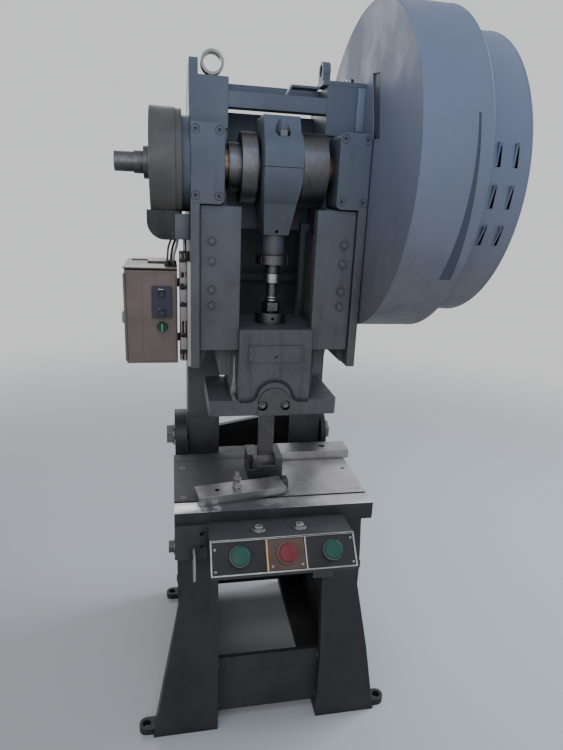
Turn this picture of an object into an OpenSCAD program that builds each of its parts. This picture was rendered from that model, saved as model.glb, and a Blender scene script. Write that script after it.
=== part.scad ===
// Open-back inclinable stamping press, single crank, about 250 kN.
// Millimetres. X to the right, Y to the rear, Z up from the floor.
// Origin: on the floor, in the middle of the four foundation bolts.

/* [Table] */
// Width of the table over both ends
table_w = 500; // [460:5:560]
// Height of the table face above the floor
table_z = 685; // [675:5:700]
// Thickness of the loose bolster plate
plate_t = 22; // [18:1:26]
// Height of the table casting below its top lip
table_t = 45; // [38:1:60]

/* [Stand] */
// Half width of the stand at the floor
foot_half = 314; // [300:2:330]
// Half width of the gap between the two legs
leg_gap_half = 140; // [120:2:150]
// Half spacing of the front foundation bolts across the press
bolt_x = 332; // [325:1:345]
// Half spacing of the foundation bolts front to rear
bolt_y = 272; // [262:2:280]
// Diameter of the foundation bolt holes
bolt_hole_d = 22; // [16:1:26]
// Greatest backward tilt of the frame in degrees
tilt_max = 25; // [10:1:30]
// Diameter of the two tilt pivot bolts
pivot_d = 36; // [30:1:40]

/* [Frame] */
// Half width of the frame over its outer plates
frame_half = 205; // [203:0.5:206]
// Thickness of each outer side plate
side_t = 20; // [16:1:24]
// Half width of the opening between the two uprights
throat_half = 116; // [114:1:118]
// Height of the crankshaft axis above the table face
shaft_rise = 797; // [795:1:810]

/* [Drive] */
// Diameter of the crankshaft main journals
shaft_d = 80; // [70:1:84]
// Diameter of the crank pin
pin_d = 92; // [84:1:96]
// Length of the ram stroke
stroke = 24; // [16:1:24]
// Outer radius of the flywheel
wheel_r = 318; // [300:2:330]
// Width of the flywheel rim
wheel_w = 92; // [86:1:96]
// Outer radius of the brake drum
drum_r = 106; // [100:1:108]
// Outer radius of the motor pulley over the belts' groove edges
pulley_r = 66; // [60:1:72]
// Radial running clearance of every turning fit
run_fit = 0.05; // [0.03:0.01:0.1]

/* [Guard] */
// Outer radius of the large guard drum
guard_r = 369; // [360:1:378]
// Outer radius of the small guard drum
cover_r = 327; // [315:1:335]
// Width of the small guard drum
cover_w = 110; // [90:2:130]
// Thickness of the guard sheet
guard_t = 2.5; // [2:0.5:4]

/* [Ram] */
// Width of the ram body
ram_w = 180; // [170:1:186]
// Height of the ram body above its lower flange
ram_h = 179; // [165:1:190]
// Width of the lower ram flange
flange_w = 326; // [300:2:340]
// Diameter of the punch shank
shank_d = 32; // [25:1:38]
// Diameter of the ball on the adjusting screw
ball_d = 48; // [44:1:50]
// Width of the punch blade
blade_w = 41; // [30:1:43]
// Side clearance of the ram in its guides
guide_fit = 0.05; // [0.03:0.01:0.1]

/* [Controls] */
// Diameter of the mushroom push buttons
button_d = 44; // [36:1:46]
// Width of the two-hand control box
box_w = 341; // [330:1:350]
// Width of the switch cabinet
cab_w = 126; // [120:1:132]
// Height of the switch cabinet
cab_h = 240; // [230:1:246]
// Depth of the switch cabinet
cab_d = 200; // [180:2:220]

/* [Hidden] */
$fn = 64;
crank_r = stroke / 2;
cy = -90;
cz = table_z + shaft_rise;
pin_y = cy - crank_r;
ball_y = cy - crank_r / 2;
piv_y = 150;
piv_z = table_z + 15;
table_bot = table_z - table_t;
bed_z = table_z - plate_t;
body_bot = table_z - 355;
swing_r = 364;
lock_r = 338;
lock_a = 240;
lock_y = piv_y + lock_r * cos(lock_a);
lock_z = piv_z + lock_r * sin(lock_a);
up_front = -190;
gib_front = -180;
gib_back = -150;
gib_bot = table_z + 300;
cover_bot = table_z + 373;
nut_z = [table_z + 482, table_z + 520, table_z + 586, table_z + 631];
col_x = frame_half - 52;
cap_x0 = throat_half + 14;
screw_x = [cap_x0 + 12, frame_half - 11];
rear_bolt_x = frame_half + 57;
cap_bot = cz - 85;
cap_top = cz + 83;
throat_z = table_z + 331;
spine_y = 94;
back_y = 300;
head_z = table_z + 1021;
block_z = table_z + 988;
bush_r = shaft_d / 2 + 8;
ram_top = table_z + 427;
ram_low = ram_top - ram_h;
flange_z = ram_low - 40;
ram_front = -196;
ram_back = 6;
ram_lug = ram_w / 2 + 16;
ball_z = ram_top - 34;
play = 7;
neck_r = 13.5;
guard_x0 = frame_half + 3;
guard_x1 = guard_x0 + 144;
cover_x1 = guard_x1 + cover_w;
wheel_x0 = guard_x0 + 22;
motor_y = 470;
motor_z = cz - 160;
drum_x0 = -frame_half - 89;
drum_x1 = -frame_half - 35;
box_y1 = -383;
box_y2 = -436;
box_z1 = table_z - 27;
box_z2 = table_z - 85;
panel_a = atan2(box_y1 - box_y2, box_z1 - box_z2);
panel_l = norm([box_y1 - box_y2, box_z1 - box_z2]);
cab_x1 = -frame_half - 30;
cab_x0 = cab_x1 - cab_w;
cab_z1 = table_z + 558;
cab_z0 = cab_z1 - cab_h;
cab_y0 = -96;

// Helper: profile drawn in Y and Z, pushed out along X from x0 to x1
module along_x(x0, x1) {
    translate([x0, 0, 0]) rotate([90, 0, 90]) linear_extrude(x1 - x0) children();
}

// Helper: profile drawn in X and Z, pushed out along Y from y0 to y1
module along_y(y0, y1) {
    translate([0, y1, 0]) rotate([90, 0, 0]) linear_extrude(y1 - y0) children();
}

// Helper: cylinder along X
module rod_x(x0, x1, r, y, z) {
    translate([x0, y, z]) rotate([0, 90, 0]) cylinder(r = r, h = x1 - x0);
}

// Helper: cylinder along Y
module rod_y(y0, y1, r, x, z) {
    translate([x, y0, z]) rotate([-90, 0, 0]) cylinder(r = r, h = y1 - y0);
}

// Helper: hexagon bar along X
module hex_x(x0, x1, r, y, z) {
    translate([x0, y, z]) rotate([0, 90, 0]) cylinder(r = r, h = x1 - x0, $fn = 6);
}

// Helper: hexagon bar along Y
module hex_y(y0, y1, r, x, z) {
    translate([x, y0, z]) rotate([-90, 0, 0]) cylinder(r = r, h = y1 - y0, $fn = 6);
}

// Helper: box by two corners
module block(a, b) {
    translate(a) cube(b - a);
}

// Helper: rectangle with four round corners, exact arcs
module round_rect(x0, y0, x1, y1, r) {
    translate([x0 + r, y0]) square([x1 - x0 - 2 * r, y1 - y0]);
    translate([x0, y0 + r]) square([x1 - x0, y1 - y0 - 2 * r]);
    for (x = [x0 + r, x1 - r], y = [y0 + r, y1 - r]) translate([x, y]) circle(r = r);
}

// Stand: front view of one leg
module leg_front_view() {
    polygon([[leg_gap_half, 0], [foot_half, 0], [foot_half - 6, 30], [236, 440], [246, 470],
        [246, table_z + 100], [leg_gap_half, table_z + 100]]);
}

// Stand: front view of the straight body behind the splayed front flange
module leg_body_view() {
    polygon([[leg_gap_half, 0], [242, 0], [244, 600], [246, table_z + 100], [leg_gap_half, table_z + 100]]);
}

// Stand: side view of one leg with its pivot ear
module leg_side_view() {
    polygon([[-302, 0], [300, 0], [300, 230], [240, 560], [228, table_bot - 12], [-240, table_bot - 12],
        [-302, 230]]);
    translate([piv_y - 78, table_bot - 30]) square([156, piv_z - table_bot + 30]);
    translate([piv_y, piv_z]) circle(r = 78);
}

// Stand: hollow of one leg, front view
module leg_front_hollow() {
    polygon([[leg_gap_half - 40, 24], [219, 24], [218, 325], [frame_half + 4, 420],
        [frame_half + 4, table_z + 101], [leg_gap_half - 40, table_z + 101]]);
}

// Stand: hollow of one leg, side view
module leg_side_hollow() {
    polygon([[-278, 24], [276, 24], [276, 230], [218, 560], [200, table_z + 101], [-200, table_z + 101],
        [-216, table_bot - 12], [-278, 230]]);
}

// Stand: one leg, drawn on the right
module leg_solid() {
    difference() {
        union() {
            intersection() {
                union() {
                    along_y(-310, -262) leg_front_view();
                    along_y(-264, 310) leg_body_view();
                }
                along_x(leg_gap_half - 5, foot_half + 5) leg_side_view();
            }
            for (p = [[bolt_x, -bolt_y, foot_half - 60], [rear_bolt_x, bolt_y, 225]]) {
                translate([p[0], p[1], 0]) cylinder(r = 20, h = 20);
                block([p[2], p[1] - 20, 0], [p[0], p[1] + 20, 20]);
            }
        }
        intersection() {
            along_y(-310, 310) leg_front_hollow();
            along_x(leg_gap_half - 40, foot_half + 5) leg_side_hollow();
        }
        for (p = [[bolt_x, -bolt_y], [rear_bolt_x, bolt_y]]) translate([p[0], p[1], -1])
            cylinder(d = bolt_hole_d, h = 30);
        rod_x(frame_half - 1, 260, pivot_d / 2 + run_fit, piv_y, piv_z);
        along_x(frame_half - 1, 290) tilt_slot();
        block([leg_gap_half - 5, 100, table_z - 397], [frame_half + 4, 320, table_z + 110]);
    }
}

// Stand: curved slot for the lock bolt
module tilt_slot() {
    intersection() {
        translate([piv_y, piv_z]) difference() {
            circle(r = lock_r + 12);
            circle(r = lock_r - 12);
        }
        translate([piv_y, piv_z]) polygon([[0, 0], 600 * [cos(lock_a), sin(lock_a)],
            900 * [cos(lock_a - tilt_max / 2), sin(lock_a - tilt_max / 2)],
            600 * [cos(lock_a - tilt_max), sin(lock_a - tilt_max)]]);
    }
    for (a = [lock_a, lock_a - tilt_max])
        translate([piv_y + lock_r * cos(a), piv_z + lock_r * sin(a)]) circle(r = 12);
}

// Stand: left leg casting
module left_leg() {
    color("#3a3b37") mirror([1, 0, 0]) leg_solid();
}

// Stand: right leg casting
module right_leg() {
    color("#3a3b37") difference() {
        leg_solid();
        block([224, 60, table_z - 60], [260, 240, table_z + 120]);
    }
}

// Stand: front tie plate between the legs
module front_tie() {
    color("#383834") block([-leg_gap_half - 44, -278, 40], [leg_gap_half + 44, -266, 220]);
}

// Stand: rear tie plate between the legs
module rear_tie() {
    color("#383834") block([-leg_gap_half - 44, 264, 40], [leg_gap_half + 44, 276, 220]);
}

// Stand: pivot bolts that carry the tilting frame, with nuts inside
module pivot_bolts() {
    color("#55554f") for (s = [-1, 1]) mirror([(s < 0) ? 1 : 0, 0, 0]) {
        e = (s < 0) ? 246 : 224;
        rod_x(frame_half - side_t - 22, e, pivot_d / 2, piv_y, piv_z);
        rod_x(e, e + 5, pivot_d / 2 + 16, piv_y, piv_z);
        hex_x(e + 5, e + 24, pivot_d / 2 + 12, piv_y, piv_z);
        hex_x(frame_half - side_t - 18, frame_half - side_t - 0.5, pivot_d / 2 + 12, piv_y, piv_z);
    }
}

// Frame: lock bolts that ride in the curved slots of the stand
module lock_bolts() {
    color("#55554f") for (s = [-1, 1]) mirror([(s < 0) ? 1 : 0, 0, 0]) {
        rod_x(frame_half - side_t - 18, 249, 11.5, lock_y, lock_z);
        rod_x(249, 253, 24, lock_y, lock_z);
        hex_x(253, 268, 20, lock_y, lock_z);
        hex_x(frame_half - side_t - 16, frame_half - side_t, 20, lock_y, lock_z);
    }
}

// Frame: side view of one outer plate
module side_plate_view() {
    difference() {
        union() {
            polygon([[up_front, throat_z], [up_front, cap_bot], [cy, cap_bot], [cy, cap_top],
                [-100, cap_top], [-100, head_z], [60, head_z], [back_y, head_z - 170],
                [back_y, table_bot - 60], [up_front, table_bot - 60]]);
            intersection() {
                translate([piv_y, piv_z]) circle(r = swing_r);
                translate([-260, body_bot]) square([back_y + 260, table_bot - body_bot]);
            }
            translate([0, body_bot]) square([back_y, 200]);
        }
        throat_view();
    }
}

// Frame: side view of the open throat
module throat_view() {
    translate([-400, table_bot]) square([400 + spine_y - 60, throat_z - table_bot]);
    translate([-400, table_bot]) square([400 + spine_y, throat_z - table_bot - 60]);
    translate([spine_y - 60, throat_z - 60]) circle(r = 60);
}

// Frame: open C-shaped casting with table, uprights and head
module c_frame() {
    color("#4b4d49") difference() {
        union() {
            for (s = [-1, 1]) mirror([(s < 0) ? 1 : 0, 0, 0]) {
                along_x(frame_half - side_t, frame_half) side_plate_view();
                upright_core();
            }
            frame_table();
            block([-frame_half + 5, 280, table_z + 355], [frame_half - 5, back_y, head_z - 190]);
            rear_wall();
            block([-frame_half + 5, -20, block_z - 50], [frame_half - 5, 0, block_z]);
            block([-throat_half - 1, 38, cap_bot - 60], [throat_half + 1, 58, block_z - 55]);
            rod_x(-frame_half - 17.5, -frame_half - 0.5, 105, cy, cz);
            block([-frame_half - 5, cy + 5, cz - 70], [-frame_half + 1, cy + 60, cz + 70]);
            block([-frame_half + 5, back_y - 60, motor_z - 150], [frame_half - 5, back_y, motor_z - 130]);
        }
        frame_bores();
    }
}

// Frame: thick inner part of one upright, drawn on the right
module upright_core() {
    x1 = frame_half - side_t + 1;
    block([throat_half, gib_back, cover_bot], [x1, 60, cap_bot]);
    block([throat_half, gib_back, gib_bot], [throat_half + 16, 60, cover_bot + 1]);
    along_y(gib_back, 60) polygon([[throat_half + 44, cover_bot + 1], [x1 - 8, throat_z + 3],
        [x1, throat_z + 3], [x1, cover_bot + 1]]);
    block([throat_half, cy, cap_bot - 1], [x1, 60, cap_top + 1]);
    block([throat_half, -100, cap_top], [x1, 60, block_z]);
    block([ram_w / 2 + 3, ram_back + 0.05, gib_bot + 10], [throat_half + 1, ram_back + 26, cap_bot - 40]);
    block([throat_half - 4, spine_y, table_bot - 40], [x1, spine_y + 22, gib_bot + 20]);
}

// Frame: table casting with front lip, apron and control box tongues
module frame_table() {
    block([-table_w / 2, -300, table_bot], [table_w / 2, 56, bed_z]);
    block([-frame_half, -200, table_bot], [frame_half, spine_y + 30, bed_z]);
    block([-table_w / 2, -12, bed_z - 1], [table_w / 2, 28, table_z]);
    block([-table_w / 2, -300, table_bot], [table_w / 2, -250, table_z]);
    block([-leg_gap_half + 10, -285, table_bot - 80], [leg_gap_half - 10, -262, table_bot + 1]);
    block([-leg_gap_half + 10, -285, table_bot - 12], [leg_gap_half - 10, -150, table_bot + 1]);
    block([-frame_half + 5, -150, table_z - 195], [frame_half - 5, -130, table_bot + 1]);
    block([-frame_half + 5, spine_y + 2, table_z - 195], [frame_half - 5, spine_y + 22, table_bot + 1]);
}

// Frame: rear wall with a sloping upper edge below the open back
module rear_wall() {
    along_y(280, back_y) polygon([[-frame_half + 5, body_bot + 15], [frame_half - 5, body_bot + 15],
        [frame_half - 5, table_z + 45], [110, table_z + 25], [-frame_half + 5, table_z - 35]]);
}

// Frame: all bores and threaded holes of the casting
module frame_bores() {
    rod_x(-frame_half - 20, frame_half + 5, bush_r, cy, cz);
    rod_x(-frame_half - 5, frame_half + 5, pivot_d / 2 + run_fit, piv_y, piv_z);
    block([frame_half - side_t - 2, -110, block_z], [frame_half + 1, back_y + 1, head_z + 1]);
    block([frame_half - side_t + 3, -110, cap_top + 12], [frame_half + 1, -30, head_z + 1]);
    block([-throat_half + 0.1, -200, gib_bot - 50], [throat_half - 0.1, ram_back, cap_top - 60]);
    for (s = [-1, 1]) {
        rod_x(s * frame_half - 30, s * frame_half + 30, 11.7, lock_y, lock_z);
        for (x = screw_x, z = [-68, 68]) rod_y(cy - 10, cy + 60, 6, s * x, cz + z);
        for (z = nut_z) rod_y(gib_back - 5, gib_back + 40, 6, s * (col_x + 4), z);
        rod_x(s * (throat_half + 15) - 20, s * (throat_half + 15) + 20, 10.05, -80, block_z - 45);
    }
    translate([0, ball_y, table_bot - 60]) cylinder(r = 50, h = 120);
    translate([-col_x, -86, block_z - 40]) cylinder(r = 7, h = 60);
    translate([188, -4, bed_z + 2]) cylinder(r = 6.05, h = plate_t + 2);
}

// Table: loose bolster plate
module bolster_plate() {
    color("#8f908c") difference() {
        block([-table_w / 2, -242, bed_z], [table_w / 2, -14, table_z]);
        translate([0, ball_y, bed_z - 1]) cylinder(r = 30, h = plate_t + 2);
        for (p = [[-92, -224], [-40, -216]]) translate([p[0], p[1], bed_z - 1])
            cylinder(r = 6.05, h = plate_t + 2);
        translate([226, -104, bed_z + 6]) cylinder(r = 5, h = plate_t);
    }
}

// Guides: one ram guide, drawn on the right
module gib_solid() {
    difference() {
        union() {
            block([ram_w / 2 + guide_fit, gib_front, cover_bot], [frame_half - side_t - 2, gib_back, cap_bot - 3]);
            block([ram_lug + guide_fit, gib_back - 1, gib_bot], [throat_half - 0.1, ram_back, cap_bot - 62]);
        }
        for (z = nut_z) rod_y(gib_front - 5, gib_back + 5, 6.2, col_x + 4, z);
    }
}

// Guides: left ram guide
module left_gib() {
    color("#474944") mirror([1, 0, 0]) gib_solid();
}

// Guides: right ram guide
module right_gib() {
    color("#474944") gib_solid();
}

// Guides: stud nuts of both ram guides
module gib_screws() {
    color("#31322f") for (s = [-1, 1], z = nut_z) {
        rod_y(gib_front - 10, gib_back + 36, 5.5, s * (col_x + 4), z);
        hex_y(gib_front - 7, gib_front, 9, s * (col_x + 4), z);
    }
}

// Bearings: front cap of one main bearing, drawn on the right
module cap_solid() {
    difference() {
        along_y(up_front, cy) difference() {
            union() {
                translate([cap_x0, cap_bot + 14]) square([frame_half - cap_x0, cap_top - cap_bot - 28]);
                translate([cap_x0 + 14, cap_bot]) square([frame_half - cap_x0 - 14, cap_top - cap_bot]);
                for (z = [cap_bot + 14, cap_top - 14]) translate([cap_x0 + 14, z]) circle(r = 14);
            }
        }
        rod_x(throat_half - 5, frame_half + 5, bush_r, cy, cz);
        for (x = screw_x, z = [-68, 68]) {
            rod_y(up_front - 5, cy + 5, 6.2, x, cz + z);
            rod_y(up_front - 5, up_front + 9, 9.5, x, cz + z);
        }
    }
}

// Bearings: left front cap
module left_bearing_cap() {
    color("#5a5c58") mirror([1, 0, 0]) cap_solid();
}

// Bearings: right front cap
module right_bearing_cap() {
    color("#5a5c58") cap_solid();
}

// Bearings: sunk screws of both caps
module cap_bolts() {
    color("#3a3b38") for (s = [-1, 1], x = screw_x, z = [-68, 68]) {
        rod_y(up_front + 8.5, cy + 58, 6, s * x, cz + z);
        difference() {
            rod_y(up_front + 1, up_front + 9, 9, s * x, cz + z);
            hex_y(up_front - 1, up_front + 6, 4.6, s * x, cz + z);
        }
    }
}

// Bearings: bronze bushes of the crankshaft
module crank_bushes() {
    color("#8a7040") for (s = [-1, 1]) mirror([(s < 0) ? 1 : 0, 0, 0]) difference() {
        rod_x(throat_half + 0.5, frame_half - 0.5, bush_r, cy, cz);
        rod_x(throat_half - 5, frame_half + 5, shaft_d / 2 + run_fit, cy, cz);
    }
}

// Head: square tie bar with turned ends between the uprights
module tie_bar() {
    color("#4f5350") {
        block([-throat_half + 0.1, -100, block_z - 62], [throat_half - 0.1, -62, block_z - 28]);
        rod_x(-throat_half - 24, throat_half + 24, 10, -80, block_z - 45);
    }
}

// Head: lifting ring with stem on the left upright
module lifting_ring() {
    color("#5b5e5b") translate([-col_x, -86, block_z]) difference() {
        union() {
            translate([0, 14, 27]) rotate([90, 0, 0]) cylinder(r = 26, h = 28);
            cylinder(r = 13, h = 8);
            translate([0, 0, -36]) cylinder(r = 6.9, h = 40);
        }
        translate([0, 15, 27]) rotate([90, 0, 0]) cylinder(r = 20, h = 30);
    }
}

// Head: bracket with lifting lug that steadies the guard
module guard_bracket() {
    color("#4c4f4c") difference() {
        union() {
            block([104, -100, block_z], [frame_half + 3, -40, block_z + 10]);
            block([104, -90, block_z], [122, -50, block_z + 40]);
            rod_x(104, 122, 22, -70, block_z + 32);
            block([frame_half, -100, block_z - 60], [frame_half + 3, -40, block_z + 10]);
        }
        rod_x(100, 130, 13, -70, block_z + 34);
    }
}

// Brake: outer steel band
module brake_band() {
    color("#77776c") difference() {
        union() {
            rod_x(drum_x0 + 1, drum_x1 + 3, drum_r + 15, cy, cz);
            rod_x(drum_x1 + 3, drum_x1 + 17, drum_r + 13, cy, cz);
            block([drum_x0 + 14, cy - 22, cz - drum_r - 52], [drum_x1 - 6, cy - 8, cz - drum_r]);
            block([drum_x0 + 14, cy + 8, cz - drum_r - 52], [drum_x1 - 6, cy + 22, cz - drum_r]);
        }
        rod_x(drum_x0 - 5, drum_x1 + 3.1, drum_r + 9, cy, cz);
        rod_x(drum_x1, drum_x1 + 20, drum_r - 30, cy, cz);
        block([drum_x0 - 5, cy - 8.1, cz - drum_r - 60], [drum_x1 + 2, cy + 8.1, cz - drum_r]);
        rod_y(cy - 30, cy + 30, 7, drum_x0 + 30, cz - drum_r - 36);
    }
}

// Brake: friction lining inside the band
module brake_lining() {
    color("#5d4a3a") difference() {
        rod_x(drum_x0 + 3, drum_x1 + 2, drum_r + 9, cy, cz);
        rod_x(drum_x0 - 5, drum_x1 + 5, drum_r + 0.5, cy, cz);
        block([drum_x0 - 5, cy - 8.1, cz - drum_r - 60], [drum_x1 + 5, cy + 8.1, cz]);
    }
}

// Brake: bracket between the band and the upright
module brake_bracket() {
    color("#60625d") block([drum_x1 + 17, cy - 52, cz - 168], [-frame_half, cy + 30, cz - 112]);
}

// Brake: black shell over the band ends, open to the front cover line
module brake_shell() {
    color("#1d1d1e") difference() {
        along_y(cy - 66, cy + 60) {
            translate([drum_x0 - 8, cz - 128]) square([62, 36]);
            translate([drum_x0 + 32, cz - 168]) square([22, 60]);
            translate([drum_x0 + 32, cz - 128]) circle(r = 40);
        }
        along_y(cy - 62, cy + 56) {
            translate([drum_x0 - 4, cz - 128]) square([70, 40]);
            translate([drum_x0 + 32, cz - 164]) square([40, 60]);
            translate([drum_x0 + 32, cz - 128]) circle(r = 36);
        }
        rod_x(drum_x0 - 20, drum_x1 + 20, drum_r + 16, cy, cz);
    }
}

// Brake: clamp bolt with nuts through the two band ends
module brake_bolt() {
    color("#4a4a46") {
        x = drum_x0 + 30;
        z = cz - drum_r - 36;
        rod_y(cy - 44, cy + 42, 6.8, x, z);
        hex_y(cy - 34, cy - 22, 12, x, z);
        hex_y(cy + 22, cy + 34, 12, x, z);
    }
}

// Drive: outline around two circles with straight flanks, seen from the right
module loop_view(r1, r2, g = 0.4) {
    dy = motor_y - cy;
    dz = motor_z - cz;
    d = norm([dy, dz]);
    f = atan2(dz, dy);
    a = acos((r1 - r2) / d);
    translate([cy, cz]) circle(r = r1, $fn = 128);
    translate([motor_y, motor_z]) circle(r = r2);
    q1 = r1 - g;
    q2 = r2 - g;
    translate([cy, cz]) polygon([q1 * [cos(f + a), sin(f + a)], [0, 0], q1 * [cos(f - a), sin(f - a)],
        [dy, dz] + q2 * [cos(f - a), sin(f - a)], [dy, dz] + q2 * [cos(f + a), sin(f + a)]]);
}

// Guard: large sheet drum with rearward belt cover
module guard_drum() {
    color("#5a5d58") difference() {
        along_x(guard_x0, guard_x1) loop_view(guard_r, pulley_r + 40, 2);
        along_x(guard_x0 + guard_t, guard_x1 - guard_t) loop_view(guard_r - guard_t, pulley_r + 40 - guard_t, 2);
        rod_x(guard_x0 - 5, guard_x0 + 10, 66, cy, cz);
        rod_x(guard_x0 - 5, guard_x0 + 10, 34, motor_y, motor_z);
        rod_x(guard_x1 - 10, guard_x1 + 5, cover_r - 20, cy, cz);
        along_x(guard_x0 - 5, guard_x0 + 10) polygon([[-142, cz + 215], [-192, cz + 208], [-224, cz + 70],
            [-182, cz + 71]]);
    }
}

// Guard: small sheet drum with closed end and ventilation slots
module guard_cover() {
    color("#5a5d58") difference() {
        union() {
            rod_x(guard_x1, guard_x1 + 14, cover_r - 14, cy, cz);
            rod_x(guard_x1 + 12, cover_x1, cover_r, cy, cz);
        }
        rod_x(guard_x1 - 5, cover_x1 - guard_t, cover_r - 14 - guard_t, cy, cz);
        rod_x(guard_x1 + 12 + guard_t, cover_x1 - guard_t, cover_r - guard_t, cy, cz);
        for (a = [176, 190, 204], x = [40, 78]) translate([guard_x1 + x, cy, cz]) rotate([a, 0, 0])
            translate([0, cover_r, 0]) rotate([9, 0, 0]) translate([-4, -8, -34]) cube([8, 16, 46]);
    }
}

// Motor: welded bracket on the rear wall
module motor_bracket() {
    color("#4b4d49") {
        block([-150, back_y, motor_z - 150], [150, back_y + 12, motor_z + 60]);
        block([-90, back_y, motor_z - 112], [170, motor_y + 90, motor_z - 100]);
        for (x = [-90, 158]) along_x(x, x + 12) polygon([[back_y, motor_z - 150], [back_y, motor_z - 100],
            [motor_y + 80, motor_z - 100], [motor_y + 60, motor_z - 112]]);
    }
}

// Motor: housing with feet, fan cowl and terminal box
module motor() {
    color("#5f6a70") difference() {
        union() {
            rod_x(-60, 160, 84, motor_y, motor_z);
            rod_x(-110, -60, 80, motor_y, motor_z);
            rod_x(160, 176, 92, motor_y, motor_z);
            block([-30, motor_y - 76, motor_z - 100], [130, motor_y + 76, motor_z - 50]);
            block([0, motor_y - 40, motor_z + 60], [90, motor_y + 40, motor_z + 118]);
            for (a = [0:30:330]) translate([0, motor_y, motor_z]) rotate([a, 0, 0])
                block([-56, 80, -2], [156, 92, 2]);
        }
        rod_x(100, 190, 20, motor_y, motor_z);
    }
}

// Drive: motor shaft with grooved belt pulley
module motor_pulley() {
    color("#6c6e6a") difference() {
        union() {
            rod_x(110, wheel_x0 + wheel_w - 4, 19, motor_y, motor_z);
            rod_x(wheel_x0 + 8, wheel_x0 + 60, pulley_r, motor_y, motor_z);
        }
        belt_grooves(pulley_r, motor_y, motor_z);
    }
}

// Drive: square belt grooves cut into a wheel of radius r
module belt_grooves(r, y, z) {
    for (k = [0, 1, 2]) difference() {
        rod_x(wheel_x0 + 12 + k * 16, wheel_x0 + 24 + k * 16, r + 5, y, z);
        rod_x(wheel_x0 + 11 + k * 16, wheel_x0 + 25 + k * 16, r - 11, y, z);
    }
}

// Drive: three belts from the motor pulley to the flywheel
module drive_belts() {
    color("#222222") for (k = [0, 1, 2]) difference() {
        along_x(wheel_x0 + 12.5 + k * 16, wheel_x0 + 23.5 + k * 16) loop_view(wheel_r - 1, pulley_r - 1);
        along_x(wheel_x0 + 12 + k * 16, wheel_x0 + 24 + k * 16) loop_view(wheel_r - 10, pulley_r - 10);
    }
}

// Drive: flywheel running free on the crankshaft
module flywheel() {
    color("#6a6c68") difference() {
        union() {
            rod_x(wheel_x0, wheel_x0 + wheel_w, wheel_r, cy, cz);
            rod_x(wheel_x0 - 6, wheel_x0 + wheel_w + 12, 78, cy, cz);
        }
        difference() {
            union() {
                rod_x(wheel_x0 - 1, wheel_x0 + 34, wheel_r - 52, cy, cz);
                rod_x(wheel_x0 + 58, wheel_x0 + wheel_w + 1, wheel_r - 52, cy, cz);
            }
            rod_x(wheel_x0 - 10, wheel_x0 + wheel_w + 15, 78, cy, cz);
        }
        for (a = [0:60:300]) translate([0, cy, cz]) rotate([a, 0, 0])
            rod_x(wheel_x0 + 30, wheel_x0 + 62, 42, 168, 0);
        rod_x(wheel_x0 - 10, wheel_x0 + wheel_w + 20, shaft_d / 2 + run_fit, cy, cz);
        belt_grooves(wheel_r, cy, cz);
    }
}

// Crank: turned shaft with pin, webs, brake seat and end collar
module crankshaft() {
    color("#7c7e7a") {
        rod_x(drum_x0 - 79, drum_x0 - 2, 22, cy, cz);
        rod_x(drum_x0 - 36, drum_x0 - 2, 25, cy, cz);
        rod_x(drum_x0 - 14, drum_x0 - 3, 36, cy, cz);
        rod_x(drum_x0 - 6, drum_x1 + 10, 30, cy, cz);
        rod_x(drum_x1 + 6, -throat_half, shaft_d / 2, cy, cz);
        rod_x(-throat_half, -88, 56, cy, cz);
        rod_x(-88, -52, 80, cy, cz);
        rod_x(-53, 53, pin_d / 2, pin_y, cz);
        rod_x(52, throat_half - 4, 86, cy, cz);
        rod_x(52, wheel_x0 + wheel_w + 40, shaft_d / 2, cy, cz);
        rod_x(wheel_x0 + wheel_w + 13, wheel_x0 + wheel_w + 34, 58, cy, cz);
    }
}

// Brake: drum pressed on the crankshaft
module brake_drum() {
    color("#7e807c") difference() {
        rod_x(drum_x0, drum_x1, drum_r, cy, cz);
        rod_x(drum_x0 - 1, drum_x0 + 16, drum_r - 14, cy, cz);
        rod_x(drum_x0 - 5, drum_x1 + 5, 30, cy, cz);
    }
}

// Connecting rod: side view of the body
module rod_side_view() {
    difference() {
        union() {
            intersection() {
                translate([pin_y, cz]) circle(r = 107);
                translate([pin_y - 120, cz - 120]) square([240, 119.5]);
            }
            polygon([[pin_y - 96, cz - 34], [pin_y - 36, cz - 150], [pin_y + 36, cz - 150],
                [pin_y + 96, cz - 34]]);
        }
        translate([pin_y, cz]) circle(r = pin_d / 2 + run_fit);
    }
}

// Connecting rod: body with split big end and threaded lower boss
module connecting_rod() {
    color("#6a6d69") difference() {
        union() {
            intersection() {
                along_x(-44, 44) rod_side_view();
                along_y(pin_y - 120, pin_y + 120) polygon([[-44, cz], [-44, cz - 30], [-30, cz - 151],
                    [30, cz - 151], [44, cz - 30], [44, cz]]);
            }
            translate([0, pin_y, cz - 199]) cylinder(r = 27, h = 60);
        }
        translate([0, pin_y, cz - 210]) cylinder(r = 18.2, h = 130);
        for (y = [-72, 72]) translate([0, pin_y + y, cz - 55]) cylinder(r = 9.2, h = 65);
        rod_y(pin_y - 60, pin_y, 4, 0, cz - 142);
    }
}

// Connecting rod: upper bearing cap
module rod_cap() {
    color("#6a6d69") difference() {
        union() {
            along_x(-44, 44) intersection() {
                translate([pin_y, cz]) circle(r = 107);
                translate([pin_y - 120, cz + 0.5]) square([240, 72]);
            }
            along_x(-42, 42) polygon([[pin_y - 74, cz + 50], [pin_y - 74, cz + 70], [pin_y - 52, cz + 112],
                [pin_y + 52, cz + 112], [pin_y + 74, cz + 70], [pin_y + 74, cz + 50]]);
        }
        rod_x(-50, 50, pin_d / 2 + run_fit, pin_y, cz);
        for (y = [-72, 72]) translate([0, pin_y + y, cz - 5]) {
            cylinder(r = 9.2, h = 130);
            translate([0, 0, 71]) cylinder(r = 17, h = 80);
        }
    }
}

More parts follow.
